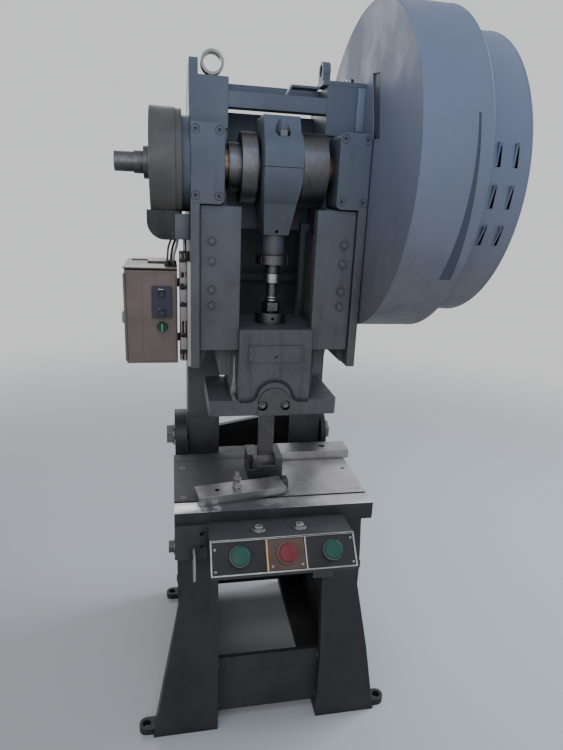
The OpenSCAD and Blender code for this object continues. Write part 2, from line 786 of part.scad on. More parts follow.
// Connecting rod: two cap bolts
module rod_bolts() {
    color("#4a4c49") for (y = [-72, 72]) translate([0, pin_y + y, cz - 55]) {
        cylinder(r = 9, h = 121);
        translate([0, 0, 121]) cylinder(r = 15, h = 12, $fn = 6);
    }
}

// Connecting rod: adjusting screw with collar, hexagon and ball
module adjusting_screw() {
    color("#9a9c98") translate([0, pin_y, 0]) {
        translate([0, 0, cz - 268]) cylinder(r = 18, h = 169);
        translate([0, 0, cz - 268]) cylinder(r = 21, h = 23);
        translate([0, 0, ball_z]) cylinder(r = neck_r, h = cz - 267 - ball_z);
        translate([0, 0, cz - 306]) cylinder(r = 17, h = 4);
        translate([0, 0, cz - 313]) cylinder(r = 17, h = 4);
        translate([0, 0, cz - 338]) cylinder(r = 25, h = 21, $fn = 6);
        translate([0, 0, cz - 345]) cylinder(r = 14, h = 4);
        translate([0, 0, ball_z]) sphere(d = ball_d);
    }
}

// Connecting rod: round lock nut under the boss
module lock_nut() {
    color("#686a66") translate([0, pin_y, cz - 221]) difference() {
        cylinder(r = 42, h = 21.5);
        translate([0, 0, -1]) cylinder(r = 18.1, h = 24);
        for (a = [45:90:315]) rotate([0, 0, a]) translate([34, -4, -1]) cube([12, 8, 24]);
    }
}

// Ram: body with flange, ball seat and guide lugs
module ram() {
    color("#5e5e5e") difference() {
        union() {
            block([-ram_w / 2, ram_front, flange_z], [ram_w / 2, ram_back, ram_top]);
            block([-ram_lug, gib_back + 0.05, ram_low], [ram_lug, ram_back, ram_top]);
            ram_flange();
            along_y(ram_front - 5, ram_front + 1) bell_view();
        }
        translate([0, ball_y, ball_z]) sphere(r = ball_d / 2 + play);
        translate([0, ball_y, ball_z]) cylinder(r = ball_d / 2 + play, h = 50);
        translate([0, ball_y, flange_z - 1]) cylinder(d = shank_d + 0.06, h = 66);
        along_y(-260, ball_y + 0.3) offset_clamp_view(0.3);
        for (x = [-29, 29]) rod_y(-120, ball_y + 34, 4.2, x, flange_z + 26);
        for (x = [-60, 60], y = [ball_y - 50, ball_y + 50]) translate([x, y, ram_top - 30]) cylinder(r = 5, h = 40);
    }
}

// Ram: lower flange with round corners
module ram_flange() {
    translate([0, 0, flange_z]) linear_extrude(40)
        round_rect(-flange_w / 2, ram_front - 5, flange_w / 2, ram_back, 12);
}

// Ram: bell-shaped step on the front face
module bell_view() {
    difference() {
        union() {
            translate([0, ram_low + 4]) circle(r = 49);
            translate([-82, flange_z]) square([164, 42]);
            translate([-62, ram_low - 1]) square([124, 18]);
        }
        for (s = [-1, 1]) translate([s * 66, ram_low + 20]) circle(r = 19.5);
    }
}

// Ram: front view of the shank clamp, grown by a gap g
module offset_clamp_view(g) {
    translate([-40 - g, flange_z - 5]) square([80 + 2 * g, 36]);
    translate([0, flange_z + 31]) circle(r = 40 + g);
}

// Ram: clamp cap for the punch shank
module shank_clamp() {
    color("#626262") difference() {
        intersection() {
            along_y(ram_front - 9, ball_y - 0.3) offset_clamp_view(0);
            block([-60, -300, flange_z], [60, 0, ram_top]);
        }
        translate([0, ball_y, flange_z - 1]) cylinder(d = shank_d + 0.06, h = 66);
        for (x = [-29, 29]) {
            rod_y(-250, ball_y + 5, 4.2, x, flange_z + 26);
            rod_y(ram_front - 20, ram_front + 5, 13, x, flange_z + 26);
        }
    }
}

// Ram: studs and nuts of the shank clamp
module clamp_nuts() {
    color("#4c4c4a") for (x = [-29, 29]) {
        rod_y(ram_front - 10, ball_y + 30, 4, x, flange_z + 26);
        hex_y(ram_front - 3, ram_front + 5, 10, x, flange_z + 26);
    }
}

// Ram: flat plate on the front face
module ram_plate() {
    color("#6a6a69") difference() {
        block([-68, ram_front - 3, ram_top - 82], [68, ram_front, ram_top - 40]);
        rod_y(ram_front - 9, ram_front + 5, 4.5, 1, ram_top - 68);
    }
}

// Ram: retaining cap over the ball
module ball_cap() {
    color("#6e6e6b") translate([0, ball_y, ram_top]) difference() {
        cylinder(r = 39, h = 27);
        translate([0, 0, -1]) cylinder(r = neck_r + play, h = 40);
        translate([0, 0, 14]) rotate([90, 0, 0]) cylinder(r = 4, h = 60);
    }
}

// Tool: punch with round shank
module punch() {
    color("#5c5c5a") {
        translate([0, ball_y, flange_z]) cylinder(d = shank_d, h = 62);
        block([-blade_w / 2, ball_y - 11, table_z + 52], [blade_w / 2, ball_y + 11, flange_z]);
    }
}

// Tool: die block with two upright jaws
module die_block() {
    color("#767673") difference() {
        block([-51, ball_y - 45, table_z], [42, ball_y + 45, table_z + 60]);
        block([-24, ball_y - 50, table_z + 37], [22, ball_y + 50, table_z + 80]);
        block([-52, ball_y - 46, table_z + 26], [-38, ball_y - 20, table_z + 80]);
    }
}

// Tool: strap clamp across the front of the table
module strap_clamp() {
    color("#83837f") difference() {
        translate([-82, -226, table_z]) rotate([0, 0, 9.1]) difference() {
            block([-113, -31, 0], [113, 31, 24]);
            translate([-62, 0, -1]) cylinder(r = 7, h = 30);
        }
        translate([-92, -224, table_z - 1]) cylinder(r = 6.5, h = 30);
    }
}

// Tool: flat clamp bar at the rear right of the table
module rear_clamp_bar() {
    color("#a9a9a6") difference() {
        block([52, -38, table_z], [264, 26, table_z + 26]);
        translate([188, -4, table_z - 1]) cylinder(r = 6.5, h = 30);
        translate([188, -4, table_z + 12]) cylinder(r = 10, h = 30);
    }
}

// Tool: clamp stud with nut, and sunk screw of the rear bar
module clamp_studs() {
    color("#55554f") {
        translate([-92, -224, bed_z + 2]) {
            cylinder(r = 6, h = plate_t + 42);
            translate([0, 0, plate_t + 22]) cylinder(r = 13, h = 3);
            translate([0, 0, plate_t + 25]) cylinder(r = 11, h = 10, $fn = 6);
        }
        translate([188, -4, bed_z + 2]) {
            cylinder(r = 6, h = plate_t + 11);
            difference() {
                translate([0, 0, plate_t + 10]) cylinder(r = 9, h = 9);
                translate([0, 0, plate_t + 13]) cylinder(r = 4.5, h = 9, $fn = 6);
            }
        }
    }
}

// Switch cabinet: folded housing with mounting straps
module cabinet_body() {
    color("#a29d93") {
        difference() {
            block([cab_x0, cab_y0, cab_z0], [cab_x1, cab_y0 + cab_d, cab_z1]);
            block([cab_x0 + 2, cab_y0 - 1, cab_z0 + 2], [cab_x1 - 2, cab_y0 + cab_d - 2, cab_z1 - 2]);
        }
        block([cab_x0 - 3, cab_y0 - 8, cab_z1 - 2], [cab_x1, cab_y0 + cab_d, cab_z1 + 1]);
        for (z = [cab_z0 + 36, cab_z1 - 58]) block([cab_x1 - 1, cab_y0 + 90, z], [-frame_half, cab_y0 + 94, z + 22]);
    }
}

// Switch cabinet: door with a raised field
module cabinet_door() {
    color("#a8a399") difference() {
        union() {
            block([cab_x0 + 1, cab_y0 - 4, cab_z0 + 1], [cab_x1 - 1, cab_y0, cab_z1 - 6]);
            along_y(cab_y0 - 6, cab_y0 - 3) round_rect(cab_x0 + 42, cab_z0 + 8, cab_x1 - 4, cab_z1 - 14, 10);
            translate([cab_x0, cab_y0 - 4, cab_z0 + 8]) cylinder(r = 3.5, h = cab_h - 22);
        }
        rod_y(cab_y0 - 10, cab_y0 + 5, 4.6, cab_x0 + 88, cab_z1 - 144);
        for (z = [108, 62]) rod_y(cab_y0 - 10, cab_y0 + 5, 7.3, cab_x0 + 88, cab_z1 - z);
    }
}

// Switch cabinet: black plate of the motor switch
module switch_plate() {
    color("#161616") difference() {
        along_y(cab_y0 - 11, cab_y0 - 6) round_rect(cab_x0 + 64, cab_z1 - 122, cab_x0 + 112, cab_z1 - 44, 4);
        for (z = [108, 62]) rod_y(cab_y0 - 20, cab_y0 + 5, 7.3, cab_x0 + 88, cab_z1 - z);
    }
}

// Switch cabinet: upper push button
module start_button() {
    color("#202020") rod_y(cab_y0 - 17, cab_y0 + 12, 7, cab_x0 + 88, cab_z1 - 62);
}

// Switch cabinet: lower push button
module stop_button() {
    color("#202020") rod_y(cab_y0 - 17, cab_y0 + 12, 7, cab_x0 + 88, cab_z1 - 108);
}

// Switch cabinet: green selector knob
module selector_knob() {
    color("#2f8f72") {
        rod_y(cab_y0 - 18, cab_y0 - 6.5, 11, cab_x0 + 88, cab_z1 - 144);
        rod_y(cab_y0 - 8, cab_y0 + 12, 4.5, cab_x0 + 88, cab_z1 - 144);
    }
}

// Wiring: upright cable conduit beside the cabinet
module cable_conduit() {
    color("#6f6f6a") block([cab_x1 + 5, -84, cab_z1 - 234], [-frame_half - 0.2, -60, cab_z1 + 40]);
}

// Control box: side view between the table front and the sloping panel
module box_side_view() {
    polygon([[-301, box_z1], [box_y1, box_z1], [box_y2, box_z2], [box_y2, box_z2 - 8],
        [-301, box_z2 - 20]]);
}

// Control box: hollow of the shell, open to the rear
module box_side_hollow() {
    polygon([[-290, box_z1 - 3], [box_y1 + 1.5, box_z1 - 3], [box_y2 + 4, box_z2 + 0.5],
        [box_y2 + 3, box_z2 - 5], [-290, box_z2 - 18.5]]);
}

// Control box: place a child on the sloping panel
module on_panel(x) {
    translate([x, (box_y1 + box_y2) / 2, (box_z1 + box_z2) / 2]) rotate([90 - panel_a, 0, 0]) children();
}

// Control box: folded shell, open at the rear
module control_box() {
    color("#55554f") difference() {
        along_x(-box_w / 2, box_w / 2) box_side_view();
        along_x(-box_w / 2 + 3, box_w / 2 - 3) box_side_hollow();
        for (x = [-105, 5, 114]) on_panel(x) translate([0, 0, -20]) cylinder(r = 11, h = 40);
        for (x = [-52, 48]) translate([x, -345, box_z1 - 20]) cylinder(r = 6.2, h = 40);
        block([-box_w / 2 - 1, -309, table_bot - 20.5], [-box_w / 2 + 3.5, -299, box_z1 - 3]);
    }
}

// Control box: panel plate on the sloping face
module control_panel() {
    color("#4a4943") difference() {
        on_panel(-box_w / 2 + 3) translate([0, -panel_l / 2 + 3, 0]) cube([box_w - 6, panel_l - 6, 3]);
        for (x = [-105, 5, 114]) on_panel(x) translate([0, 0, -20]) cylinder(r = 9, h = 40);
    }
}

// Control box: angle bracket under the table lip
module box_bracket() {
    color("#4e4c47") difference() {
        union() {
            block([-table_w / 2, -308, table_bot - 78], [-box_w / 2 - 2, -300, table_bot + 8]);
            block([-table_w / 2, -308, table_bot - 20], [box_w / 2 - 6, -300, box_z1 - 3.2]);
            block([-100, -372, box_z1 - 10], [100, -301, box_z1 - 3.2]);
        }
        for (z = [table_bot - 8, table_bot - 42]) rod_y(-320, -290, 6, -184, z);
        for (x = [-52, 48]) translate([x, -345, box_z1 - 30]) cylinder(r = 5, h = 40);
    }
}

// Control box: mushroom push button with stem
module push_button(x) {
    on_panel(x) {
        translate([0, 0, 12]) cylinder(d = button_d, h = 9);
        translate([0, 0, 21]) cylinder(d = button_d - 6, h = 2);
        translate([0, 0, -16]) cylinder(r = 8, h = 30);
    }
}

// Control box: left green button
module left_green_button() {
    color("#2b7f68") push_button(-105);
}

// Control box: right green button
module right_green_button() {
    color("#2b7f68") push_button(114);
}

// Control box: red stop button
module red_button() {
    color("#a83a4a") push_button(5);
}

left_leg();
right_leg();
front_tie();
rear_tie();
pivot_bolts();
lock_bolts();
c_frame();
bolster_plate();
left_gib();
right_gib();
gib_screws();
left_bearing_cap();
right_bearing_cap();
cap_bolts();
crank_bushes();
tie_bar();
lifting_ring();
guard_bracket();
brake_band();
brake_lining();
brake_bracket();
brake_shell();
brake_bolt();
guard_drum();
guard_cover();
motor_bracket();
motor();
motor_pulley();
drive_belts();
cabinet_body();
cabinet_door();
switch_plate();
start_button();
stop_button();
selector_knob();
cable_conduit();
control_box();
control_panel();
box_bracket();
left_green_button();
right_green_button();
red_button();
die_block();
strap_clamp();
rear_clamp_bar();
clamp_studs();
crankshaft();
brake_drum();
flywheel();
connecting_rod();
rod_cap();
rod_bolts();
adjusting_screw();
lock_nut();
ram();
ram_plate();
ball_cap();
shank_clamp();
clamp_nuts();
punch();
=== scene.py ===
"""Looks of a C-frame mechanical stamping press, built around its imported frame.

Pieces are drawn in millimetres in the row frame, and put() and tube() bring them to metres. The camera, the
lamps and the floor are in metres. In a material, the places along an axis are in metres and the pattern
scales are per metre, while radii, distances and depths are in millimetres.
"""

import math

import bmesh
import bpy
from mathutils import Matrix, Vector


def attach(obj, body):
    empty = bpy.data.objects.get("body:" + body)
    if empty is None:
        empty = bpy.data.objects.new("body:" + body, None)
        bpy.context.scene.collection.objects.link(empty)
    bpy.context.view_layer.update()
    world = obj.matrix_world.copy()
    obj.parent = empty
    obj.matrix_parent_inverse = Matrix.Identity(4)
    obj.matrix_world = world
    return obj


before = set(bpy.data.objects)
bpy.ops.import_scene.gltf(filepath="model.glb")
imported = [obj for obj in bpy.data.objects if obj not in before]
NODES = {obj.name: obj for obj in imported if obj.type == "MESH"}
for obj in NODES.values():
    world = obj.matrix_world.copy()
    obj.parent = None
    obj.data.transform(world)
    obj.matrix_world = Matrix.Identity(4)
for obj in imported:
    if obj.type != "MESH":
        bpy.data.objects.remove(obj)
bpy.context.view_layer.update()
MM = 0.001
ROW = Matrix()
FRONT = (0, -1, 0)
BACK = (0, 1, 0)
LEFT = (-1, 0, 0)
RIGHT = (1, 0, 0)
UP = (0, 0, 1)

# Camera, solved from the table corners, the level lines and the feet in the photo
HEADING = math.radians(11.51)
PITCH = math.radians(17.08)
ROLL = math.radians(2.63)
FOCAL_PX = 556.94
LONG_SIDE_PX = 750
SENSOR_MM = 36.0
CAMERA_AT = (-0.2478, -1.4952, 1.4047)
FAR_CLIP = 100.0


def link(o):
    """Adds an object to the scene."""
    bpy.context.scene.collection.objects.link(o)


def add_camera():
    """Adds the camera that sees the press as the photo does."""
    level = Vector((math.cos(HEADING), -math.sin(HEADING), 0))
    ahead = Vector((math.sin(HEADING) * math.cos(PITCH), math.cos(HEADING) * math.cos(PITCH),
                    -math.sin(PITCH)))
    over = level.cross(ahead)
    right = level * math.cos(ROLL) + over * math.sin(ROLL)
    up = over * math.cos(ROLL) - level * math.sin(ROLL)
    lens = bpy.data.cameras.new("camera")
    lens.sensor_width = SENSOR_MM
    lens.lens = SENSOR_MM * FOCAL_PX / LONG_SIDE_PX
    lens.clip_end = FAR_CLIP
    cam = bpy.data.objects.new("camera", lens)
    cam.matrix_world = Matrix((
        (right.x, up.x, -ahead.x, CAMERA_AT[0]),
        (right.y, up.y, -ahead.y, CAMERA_AT[1]),
        (right.z, up.z, -ahead.z, CAMERA_AT[2]),
        (0, 0, 0, 1)))
    link(cam)
    bpy.context.scene.camera = cam


add_camera()


# Materials
class Mat:
    """A node material that is put together step by step."""

    def __init__(self, name):
        self.material = bpy.data.materials.new(name)
        self.material.use_nodes = True
        self.tree = self.material.node_tree
        self.tree.nodes.clear()
        out = self.node("OutputMaterial")
        self.shader = self.node("BsdfPrincipled")
        self.tree.links.new(self.shader.outputs[0], out.inputs[0])
        self.coords = self.node("TexCoord").outputs["Object"]
        self.soft = None

    def node(self, kind):
        return self.tree.nodes.new("ShaderNode" + kind)

    def feed(self, socket, value):
        """Links another node's output to a socket, or sets the socket to a constant."""
        if isinstance(value, bpy.types.NodeSocket):
            self.tree.links.new(value, socket)
        else:
            socket.default_value = value

    def stretch(self, scale):
        n = self.node("Mapping")
        self.feed(n.inputs["Vector"], self.coords)
        n.inputs["Scale"].default_value = scale
        return n.outputs[0]

    def noise(self, scale, detail=4.0, rough=0.6, at=None, distort=0.0):
        n = self.node("TexNoise")
        self.feed(n.inputs["Vector"], at or self.coords)
        n.inputs["Scale"].default_value = scale
        n.inputs["Detail"].default_value = detail
        n.inputs["Roughness"].default_value = rough
        n.inputs["Distortion"].default_value = distort
        return n.outputs["Fac"]

    def ramp(self, value, lo, hi, out_lo=0.0, out_hi=1.0):
        """Goes smoothly from out_lo to out_hi while value goes from lo to hi."""
        n = self.node("MapRange")
        n.interpolation_type = "SMOOTHSTEP"
        self.feed(n.inputs["Value"], value)
        for i, v in enumerate((lo, hi, out_lo, out_hi)):
            n.inputs[i + 1].default_value = v
        return n.outputs[0]

    def calc(self, operation, a, b, clamp=True):
        n = self.node("Math")
        n.operation = operation
        n.use_clamp = clamp
        self.feed(n.inputs[0], a)
        self.feed(n.inputs[1], b)
        return n.outputs[0]

    def mul(self, a, b):
        return self.calc("MULTIPLY", a, b)

    def mix(self, factor, a, b):
        """Goes from colour a at factor 0 to colour b at factor 1."""
        n = self.node("Mix")
        n.data_type = "RGBA"
        self.feed(n.inputs["Factor"], factor)
        for key, v in ((6, a), (7, b)):
            if isinstance(v, tuple):
                v = (*v, 1.0)
            self.feed(n.inputs[key], v)
        return n.outputs[2]

    def wavy(self, axis, noise, lo, hi):
        """The object coordinate on one axis, shifted from place to place by lo to hi."""
        split = self.node("SeparateXYZ")
        self.feed(split.inputs[0], self.coords)
        return self.calc("ADD", split.outputs[axis], self.ramp(noise, 0.3, 0.7, lo, hi), clamp=False)

    def bevel(self, radius):
        """Keeps a normal that is rounded over the edges, for edge() and bump()."""
        n = self.node("Bevel")
        n.samples = 4
        n.inputs["Radius"].default_value = radius * MM
        self.soft = n.outputs[0]

    def edge(self):
        """1 on the outer edges of the piece, 0 on its faces."""
        dot = self.node("VectorMath")
        dot.operation = "DOT_PRODUCT"
        self.feed(dot.inputs[0], self.soft)
        self.feed(dot.inputs[1], self.node("NewGeometry").outputs["Normal"])
        return self.ramp(self.calc("SUBTRACT", 1.0, dot.outputs["Value"]), 0.02, 0.16)

    def grime_and_shade(self, distance):
        """1 in corners and under ledges, where dirt gathers and shade falls: dirt together with painted
        shade.
        """
        n = self.node("AmbientOcclusion")
        n.samples = 4
        n.inputs["Distance"].default_value = distance * MM
        return self.ramp(n.outputs["AO"], 0.25, 0.85, 1.0, 0.0)

    def bump(self, height, strength, depth):
        n = self.node("Bump")
        n.inputs["Strength"].default_value = strength
        n.inputs["Distance"].default_value = depth * MM
        self.feed(n.inputs["Height"], height)
        self.feed(n.inputs["Normal"], self.soft)
        self.feed(self.shader.inputs["Normal"], n.outputs[0])

    def done(self, colour, rough, metallic=0.0, specular=0.5):
        self.feed(self.shader.inputs["Base Color"], colour)
        self.feed(self.shader.inputs["Roughness"], rough)
        self.feed(self.shader.inputs["Metallic"], metallic)
        self.shader.inputs["Specular IOR Level"].default_value = specular
        return self.material


GRIME_AND_SHADE = (0.020, 0.018, 0.017)
TABLE_DARK_TONE = (0.030, 0.027, 0.028)
FINGER_DIRT_AND_SHADE = (0.015, 0.014, 0.013)


def enamel(name, base, alt, grime_and_shade, chips, worn=(0.22, 0.21, 0.20), rough=(0.38, 0.62), cast=0.35, streak=0.5,
           radius=2.5, low=None, painted_cool_light=None):
    """Old machine enamel: uneven colour, oil streaks, dirt with painted shade in corners, worn edges and
    chips.

    low is (z0, z1, amount): a darkening towards the bottom that is full below z0 and gone above z1.
    cool is (z0, z1, colour, amount): a painted bluish light on the upper parts, which sets in above z0 and is
    full above z1.
    """
    m = Mat(name)
    m.bevel(radius)
    tone = m.ramp(m.noise(3.2, 3.0), 0.35, 0.68)
    patch = m.ramp(m.noise(11.0, 6.0, 0.7), 0.42, 0.72)
    runs = m.ramp(m.noise(9.0, 5.0, 0.65, m.stretch((3.2, 3.2, 0.35))), 0.48, 0.78)
    fine = m.noise(120.0, 4.0, 0.7)
    bits = m.ramp(m.noise(46.0, 8.0, 0.75), 0.40, 0.62)
    spots = m.ramp(m.noise(34.0, 8.0, 0.8, distort=0.6), 0.70 - 0.05 * chips, 0.74 - 0.05 * chips)
    colour = m.mix(m.mul(tone, 0.8), base, alt)
    colour = m.mix(m.mul(patch, 0.35), colour, grime_and_shade)
    colour = m.mix(m.mul(runs, streak), colour, grime_and_shade)
    # Dirt together with painted shade in the corners and under ledges.
    colour = m.mix(m.mul(m.grime_and_shade(45.0), m.ramp(fine, 0.2, 0.7, 0.45, 0.95)), colour, grime_and_shade)
    if low or painted_cool_light:
        level = m.wavy("Z", m.noise(6.0, 3.0), 0.0, 0.06)
    if low:
        z0, z1, amount = low
        colour = m.mix(m.ramp(level, z0, z1, amount, 0.0), colour, grime_and_shade)
    # Painted bluish light, stronger higher up.
    if painted_cool_light:
        z0, z1, tint, amount = painted_cool_light
        colour = m.mix(m.ramp(level, z0, z1, 0.0, amount), colour, tint)
    colour = m.mix(m.mul(m.mul(m.edge(), bits), chips), colour, worn)
    colour = m.mix(m.mul(spots, 0.75), colour, worn)
    height = m.calc("ADD", m.mul(m.noise(26.0, 3.0), 0.55), m.mul(fine, cast))
    m.bump(height, 0.32, 1.2)
    return m.done(colour, m.ramp(m.noise(7.0, 5.0, 0.6), 0.3, 0.75, *rough), specular=0.32)


def metal(name, base, stain, rough, grain, stains, bump=0.08, edge_tone=None, zone=None):
    """Bare metal: fine tool marks along one way, stains and darker oil patches.

    zone is (x0, x1, amount): a darkening that is full left of x0 and gone right of x1; on the front land it
    is dirt together with the painted shadow of the strap clamp. Two more values in it give the stretch of X
    over which the darkening sets in from the left.
    """
    m = Mat(name)
    m.bevel(1.2)
    lines = m.noise(9.0, 6.0, 0.75, m.stretch(grain))
    patch = m.ramp(m.noise(8.0, 7.0, 0.7, distort=0.4), 0.42, 0.70)
    fine = m.ramp(m.noise(70.0, 5.0, 0.8), 0.46, 0.66)
    colour = m.mix(m.mul(m.ramp(lines, 0.3, 0.7), 0.35), base, tuple(0.7 * c for c in base))
    colour = m.mix(m.mul(patch, stains), colour, stain)
    colour = m.mix(m.mul(fine, 0.35 * stains), colour, stain)
    # Dirt together with painted shade in the corners.
    colour = m.mix(m.mul(m.grime_and_shade(20.0), 0.75), colour, tuple(0.35 * c for c in stain))
    if edge_tone:
        colour = m.mix(m.mul(m.edge(), 0.6), colour, edge_tone)
    roughness = m.ramp(lines, 0.25, 0.75, *rough)
    bare = 1.0
    # The zone's darkening: on the front land, dirt together with the painted shadow of the strap clamp.
    if zone:
        place = m.wavy("X", m.noise(7.0, 5.0, 0.7), -0.055, 0.055)
        darkening = m.ramp(place, zone[0], zone[1], zone[2], 0.0)
        if len(zone) > 3:
            darkening = m.mul(darkening, m.ramp(place, zone[3], zone[4]))
        colour = m.mix(darkening, colour, TABLE_DARK_TONE)
        roughness = m.calc("ADD", roughness, m.mul(darkening, 0.22))
        bare = m.ramp(darkening, 0.0, 1.0, 1.0, 0.35)
    m.bump(lines, bump, 0.5)
    return m.done(colour, roughness, bare)


def plastic(name, base, dull, rough, darkening, bump=0.05, radius=1.5):
    """Moulded plastic or rubber with finger grime and painted shade in its corners."""
    m = Mat(name)
    m.bevel(radius)
    patch = m.ramp(m.noise(60.0, 5.0, 0.7), 0.42, 0.72)
    colour = m.mix(m.mul(patch, 0.5), base, dull)
    # Finger grime together with painted shade in the corners.
    colour = m.mix(m.mul(m.grime_and_shade(14.0), darkening), colour, FINGER_DIRT_AND_SHADE)
    m.bump(m.noise(300.0, 3.0), bump, 0.3)
    return m.done(colour, m.ramp(m.noise(40.0, 4.0), 0.3, 0.7, rough, rough + 0.18), specular=0.3)


def label_field(name):
    """Yellow label paint, worn through to the dark panel in patches."""
    m = Mat(name)
    m.bevel(0.8)
    worn = m.ramp(m.noise(26.0, 7.0, 0.75, m.stretch((1.0, 1.0, 1.6))), 0.36, 0.66)
    tint = m.mix(m.ramp(m.noise(9.0, 3.0), 0.35, 0.65), (0.105, 0.044, 0.019), (0.070, 0.028, 0.015))
    tint = m.mix(m.mul(worn, 0.8), tint, (0.060, 0.034, 0.024))
    m.bump(m.noise(180.0, 4.0), 0.12, 0.3)
    return m.done(tint, m.ramp(worn, 0.0, 1.0, 0.42, 0.6))


mats = {
    # The cool tone of the machine enamel and the guard enamel is painted bluish light on their upper parts.
    "paint": enamel("machine_enamel", (0.096, 0.094, 0.100), (0.072, 0.071, 0.077), GRIME_AND_SHADE, 0.45,
                    low=(0.66, 0.82, 0.82), painted_cool_light=(1.15, 1.65, (0.105, 0.140, 0.200), 0.5)),
    "paint_low": enamel("stand_enamel", (0.041, 0.038, 0.039), (0.027, 0.025, 0.026),
                        (0.012, 0.011, 0.011), 0.3, worn=(0.15, 0.14, 0.135), rough=(0.45, 0.7)),
    "paint_guard": enamel("guard_enamel", (0.142, 0.142, 0.152), (0.116, 0.117, 0.127),
                          (0.050, 0.050, 0.056), 0.3, worn=(0.25, 0.25, 0.26), rough=(0.46, 0.66),
                          cast=0.12, streak=0.35, radius=1.2, painted_cool_light=(1.15, 1.60, (0.155, 0.182, 0.262), 0.9)),
    "paint_cab": enamel("cabinet_enamel", (0.178, 0.134, 0.120), (0.148, 0.110, 0.098),
                        (0.056, 0.043, 0.038), 0.3, worn=(0.34, 0.32, 0.30), rough=(0.34, 0.52),
                        cast=0.25, streak=0.3, radius=1.5),
    "paint_brake": enamel("brake_enamel", (0.096, 0.090, 0.084), (0.071, 0.067, 0.064), GRIME_AND_SHADE, 0.4),
    "panel": enamel("panel_paint", (0.023, 0.020, 0.021), (0.018, 0.016, 0.017), (0.009, 0.008, 0.008), 0.2,
                    worn=(0.13, 0.125, 0.12), rough=(0.50, 0.68), cast=0.12, streak=0.3, radius=0.8),
    "box": enamel("control_box_paint", (0.070, 0.067, 0.066), (0.050, 0.048, 0.048),
                  (0.016, 0.015, 0.014), 0.4, worn=(0.24, 0.23, 0.22), rough=(0.36, 0.55),
                  cast=0.2, streak=0.35, radius=1.5),
    # A light paint for painted highlights on edges.
    "strip": enamel("painted_edge_highlight", (0.42, 0.39, 0.385), (0.32, 0.30, 0.295), (0.14, 0.12, 0.115), 0.5,
                    worn=(0.25, 0.24, 0.23), rough=(0.35, 0.5), cast=0.1, streak=0.3, radius=1.0),
    "table": metal("table_steel", (0.60, 0.58, 0.59), (0.20, 0.185, 0.18), (0.30, 0.48), (3, 34, 30), 0.35,
                   bump=0.10, zone=(-0.02, 0.10, 0.94)),
    # The front land is bright machined steel; its dark left middle is dirt together with the painted shadow
    # of the strap clamp.
    "land": metal("table_front_land", (0.62, 0.60, 0.61), (0.20, 0.185, 0.18), (0.28, 0.46), (3, 34, 30), 0.4,
                  bump=0.10, zone=(-0.04, 0.06, 0.85, -0.19, -0.15)),
    "steel": metal("machined_steel", (0.42, 0.41, 0.415), (0.13, 0.12, 0.115), (0.26, 0.46),
                   (30, 30, 5), 0.45, edge_tone=(0.6, 0.59, 0.58)),
    "dark_steel": metal("oiled_steel", (0.130, 0.127, 0.132), (0.05, 0.046, 0.045), (0.34, 0.58),
                        (24, 24, 8), 0.55, bump=0.12, edge_tone=(0.36, 0.35, 0.34)),
    "bolts": metal("bolt_steel", (0.26, 0.25, 0.25), (0.07, 0.06, 0.055), (0.32, 0.55), (40, 40, 40), 0.6,
                   bump=0.1, edge_tone=(0.45, 0.44, 0.43)),
    "bronze": metal("bearing_bronze", (0.17, 0.115, 0.070), (0.07, 0.05, 0.038), (0.25, 0.45),
                    (5, 60, 60), 0.4),
    "rim": metal("rim_aluminium", (0.38, 0.36, 0.35), (0.13, 0.115, 0.10), (0.34, 0.52), (8, 40, 40), 0.55),
    "brass": metal("brass_rib_metal", (0.42, 0.27, 0.13), (0.15, 0.09, 0.045), (0.34, 0.52),
                   (8, 40, 40), 0.5),
    "way": metal("bare_way_metal", (0.52, 0.50, 0.50), (0.13, 0.12, 0.12), (0.34, 0.52), (60, 60, 5),
                 0.75, bump=0.2),
    "shell": plastic("black_shell", (0.012, 0.012, 0.013), (0.020, 0.020, 0.021), 0.16, 0.2, bump=0.03,
                     radius=2.0),
    "green": plastic("green_button", (0.012, 0.070, 0.050), (0.011, 0.050, 0.038), 0.32, 0.6),
    "red": plastic("red_button", (0.175, 0.018, 0.026), (0.125, 0.016, 0.022), 0.32, 0.6),
    "knob": plastic("green_knob", (0.010, 0.050, 0.030), (0.010, 0.036, 0.024), 0.34, 0.4),
    "green_glow": plastic("pale_green_cap", (0.16, 0.40, 0.30), (0.12, 0.30, 0.23), 0.35, 0.3),
    "black": plastic("black_plastic", (0.017, 0.017, 0.018), (0.030, 0.029, 0.028), 0.34, 0.3),
    "blue": plastic("blue_black_plastic", (0.036, 0.037, 0.054), (0.044, 0.043, 0.056), 0.40, 0.3),
    "white": plastic("white_plastic", (0.55, 0.54, 0.52), (0.36, 0.345, 0.33), 0.40, 0.5),
    "pvc": plastic("cable_sheath", (0.022, 0.022, 0.023), (0.045, 0.043, 0.041), 0.42, 0.4),
    "lead": plastic("light_cable", (0.42, 0.385, 0.36), (0.26, 0.235, 0.22), 0.38, 0.6, bump=0.1),
    "lead_brown": plastic("brown_cable", (0.115, 0.065, 0.045), (0.07, 0.045, 0.035), 0.42, 0.5, bump=0.1),
    "rubber": plastic("belt_rubber", (0.018, 0.018, 0.018), (0.034, 0.032, 0.030), 0.62, 0.4, bump=0.2),
    "lining": plastic("brake_lining", (0.075, 0.055, 0.042), (0.045, 0.034, 0.028), 0.75, 0.5, bump=0.35),
    "guard_shade": plastic("guard_shade", (0.052, 0.062, 0.088), (0.064, 0.072, 0.095), 0.6, 0.3, bump=0.1),
    # Painted shadow along the edge of the ram's bell-shaped step.
    "groove": plastic("groove_dirt", (0.020, 0.019, 0.021), (0.032, 0.030, 0.032), 0.6, 0.5, bump=0.2),
    "void": plastic("dark_gap", (0.004, 0.004, 0.0045), (0.006, 0.006, 0.006), 0.9, 0.1),
    "yellow": label_field("yellow_field"),
}

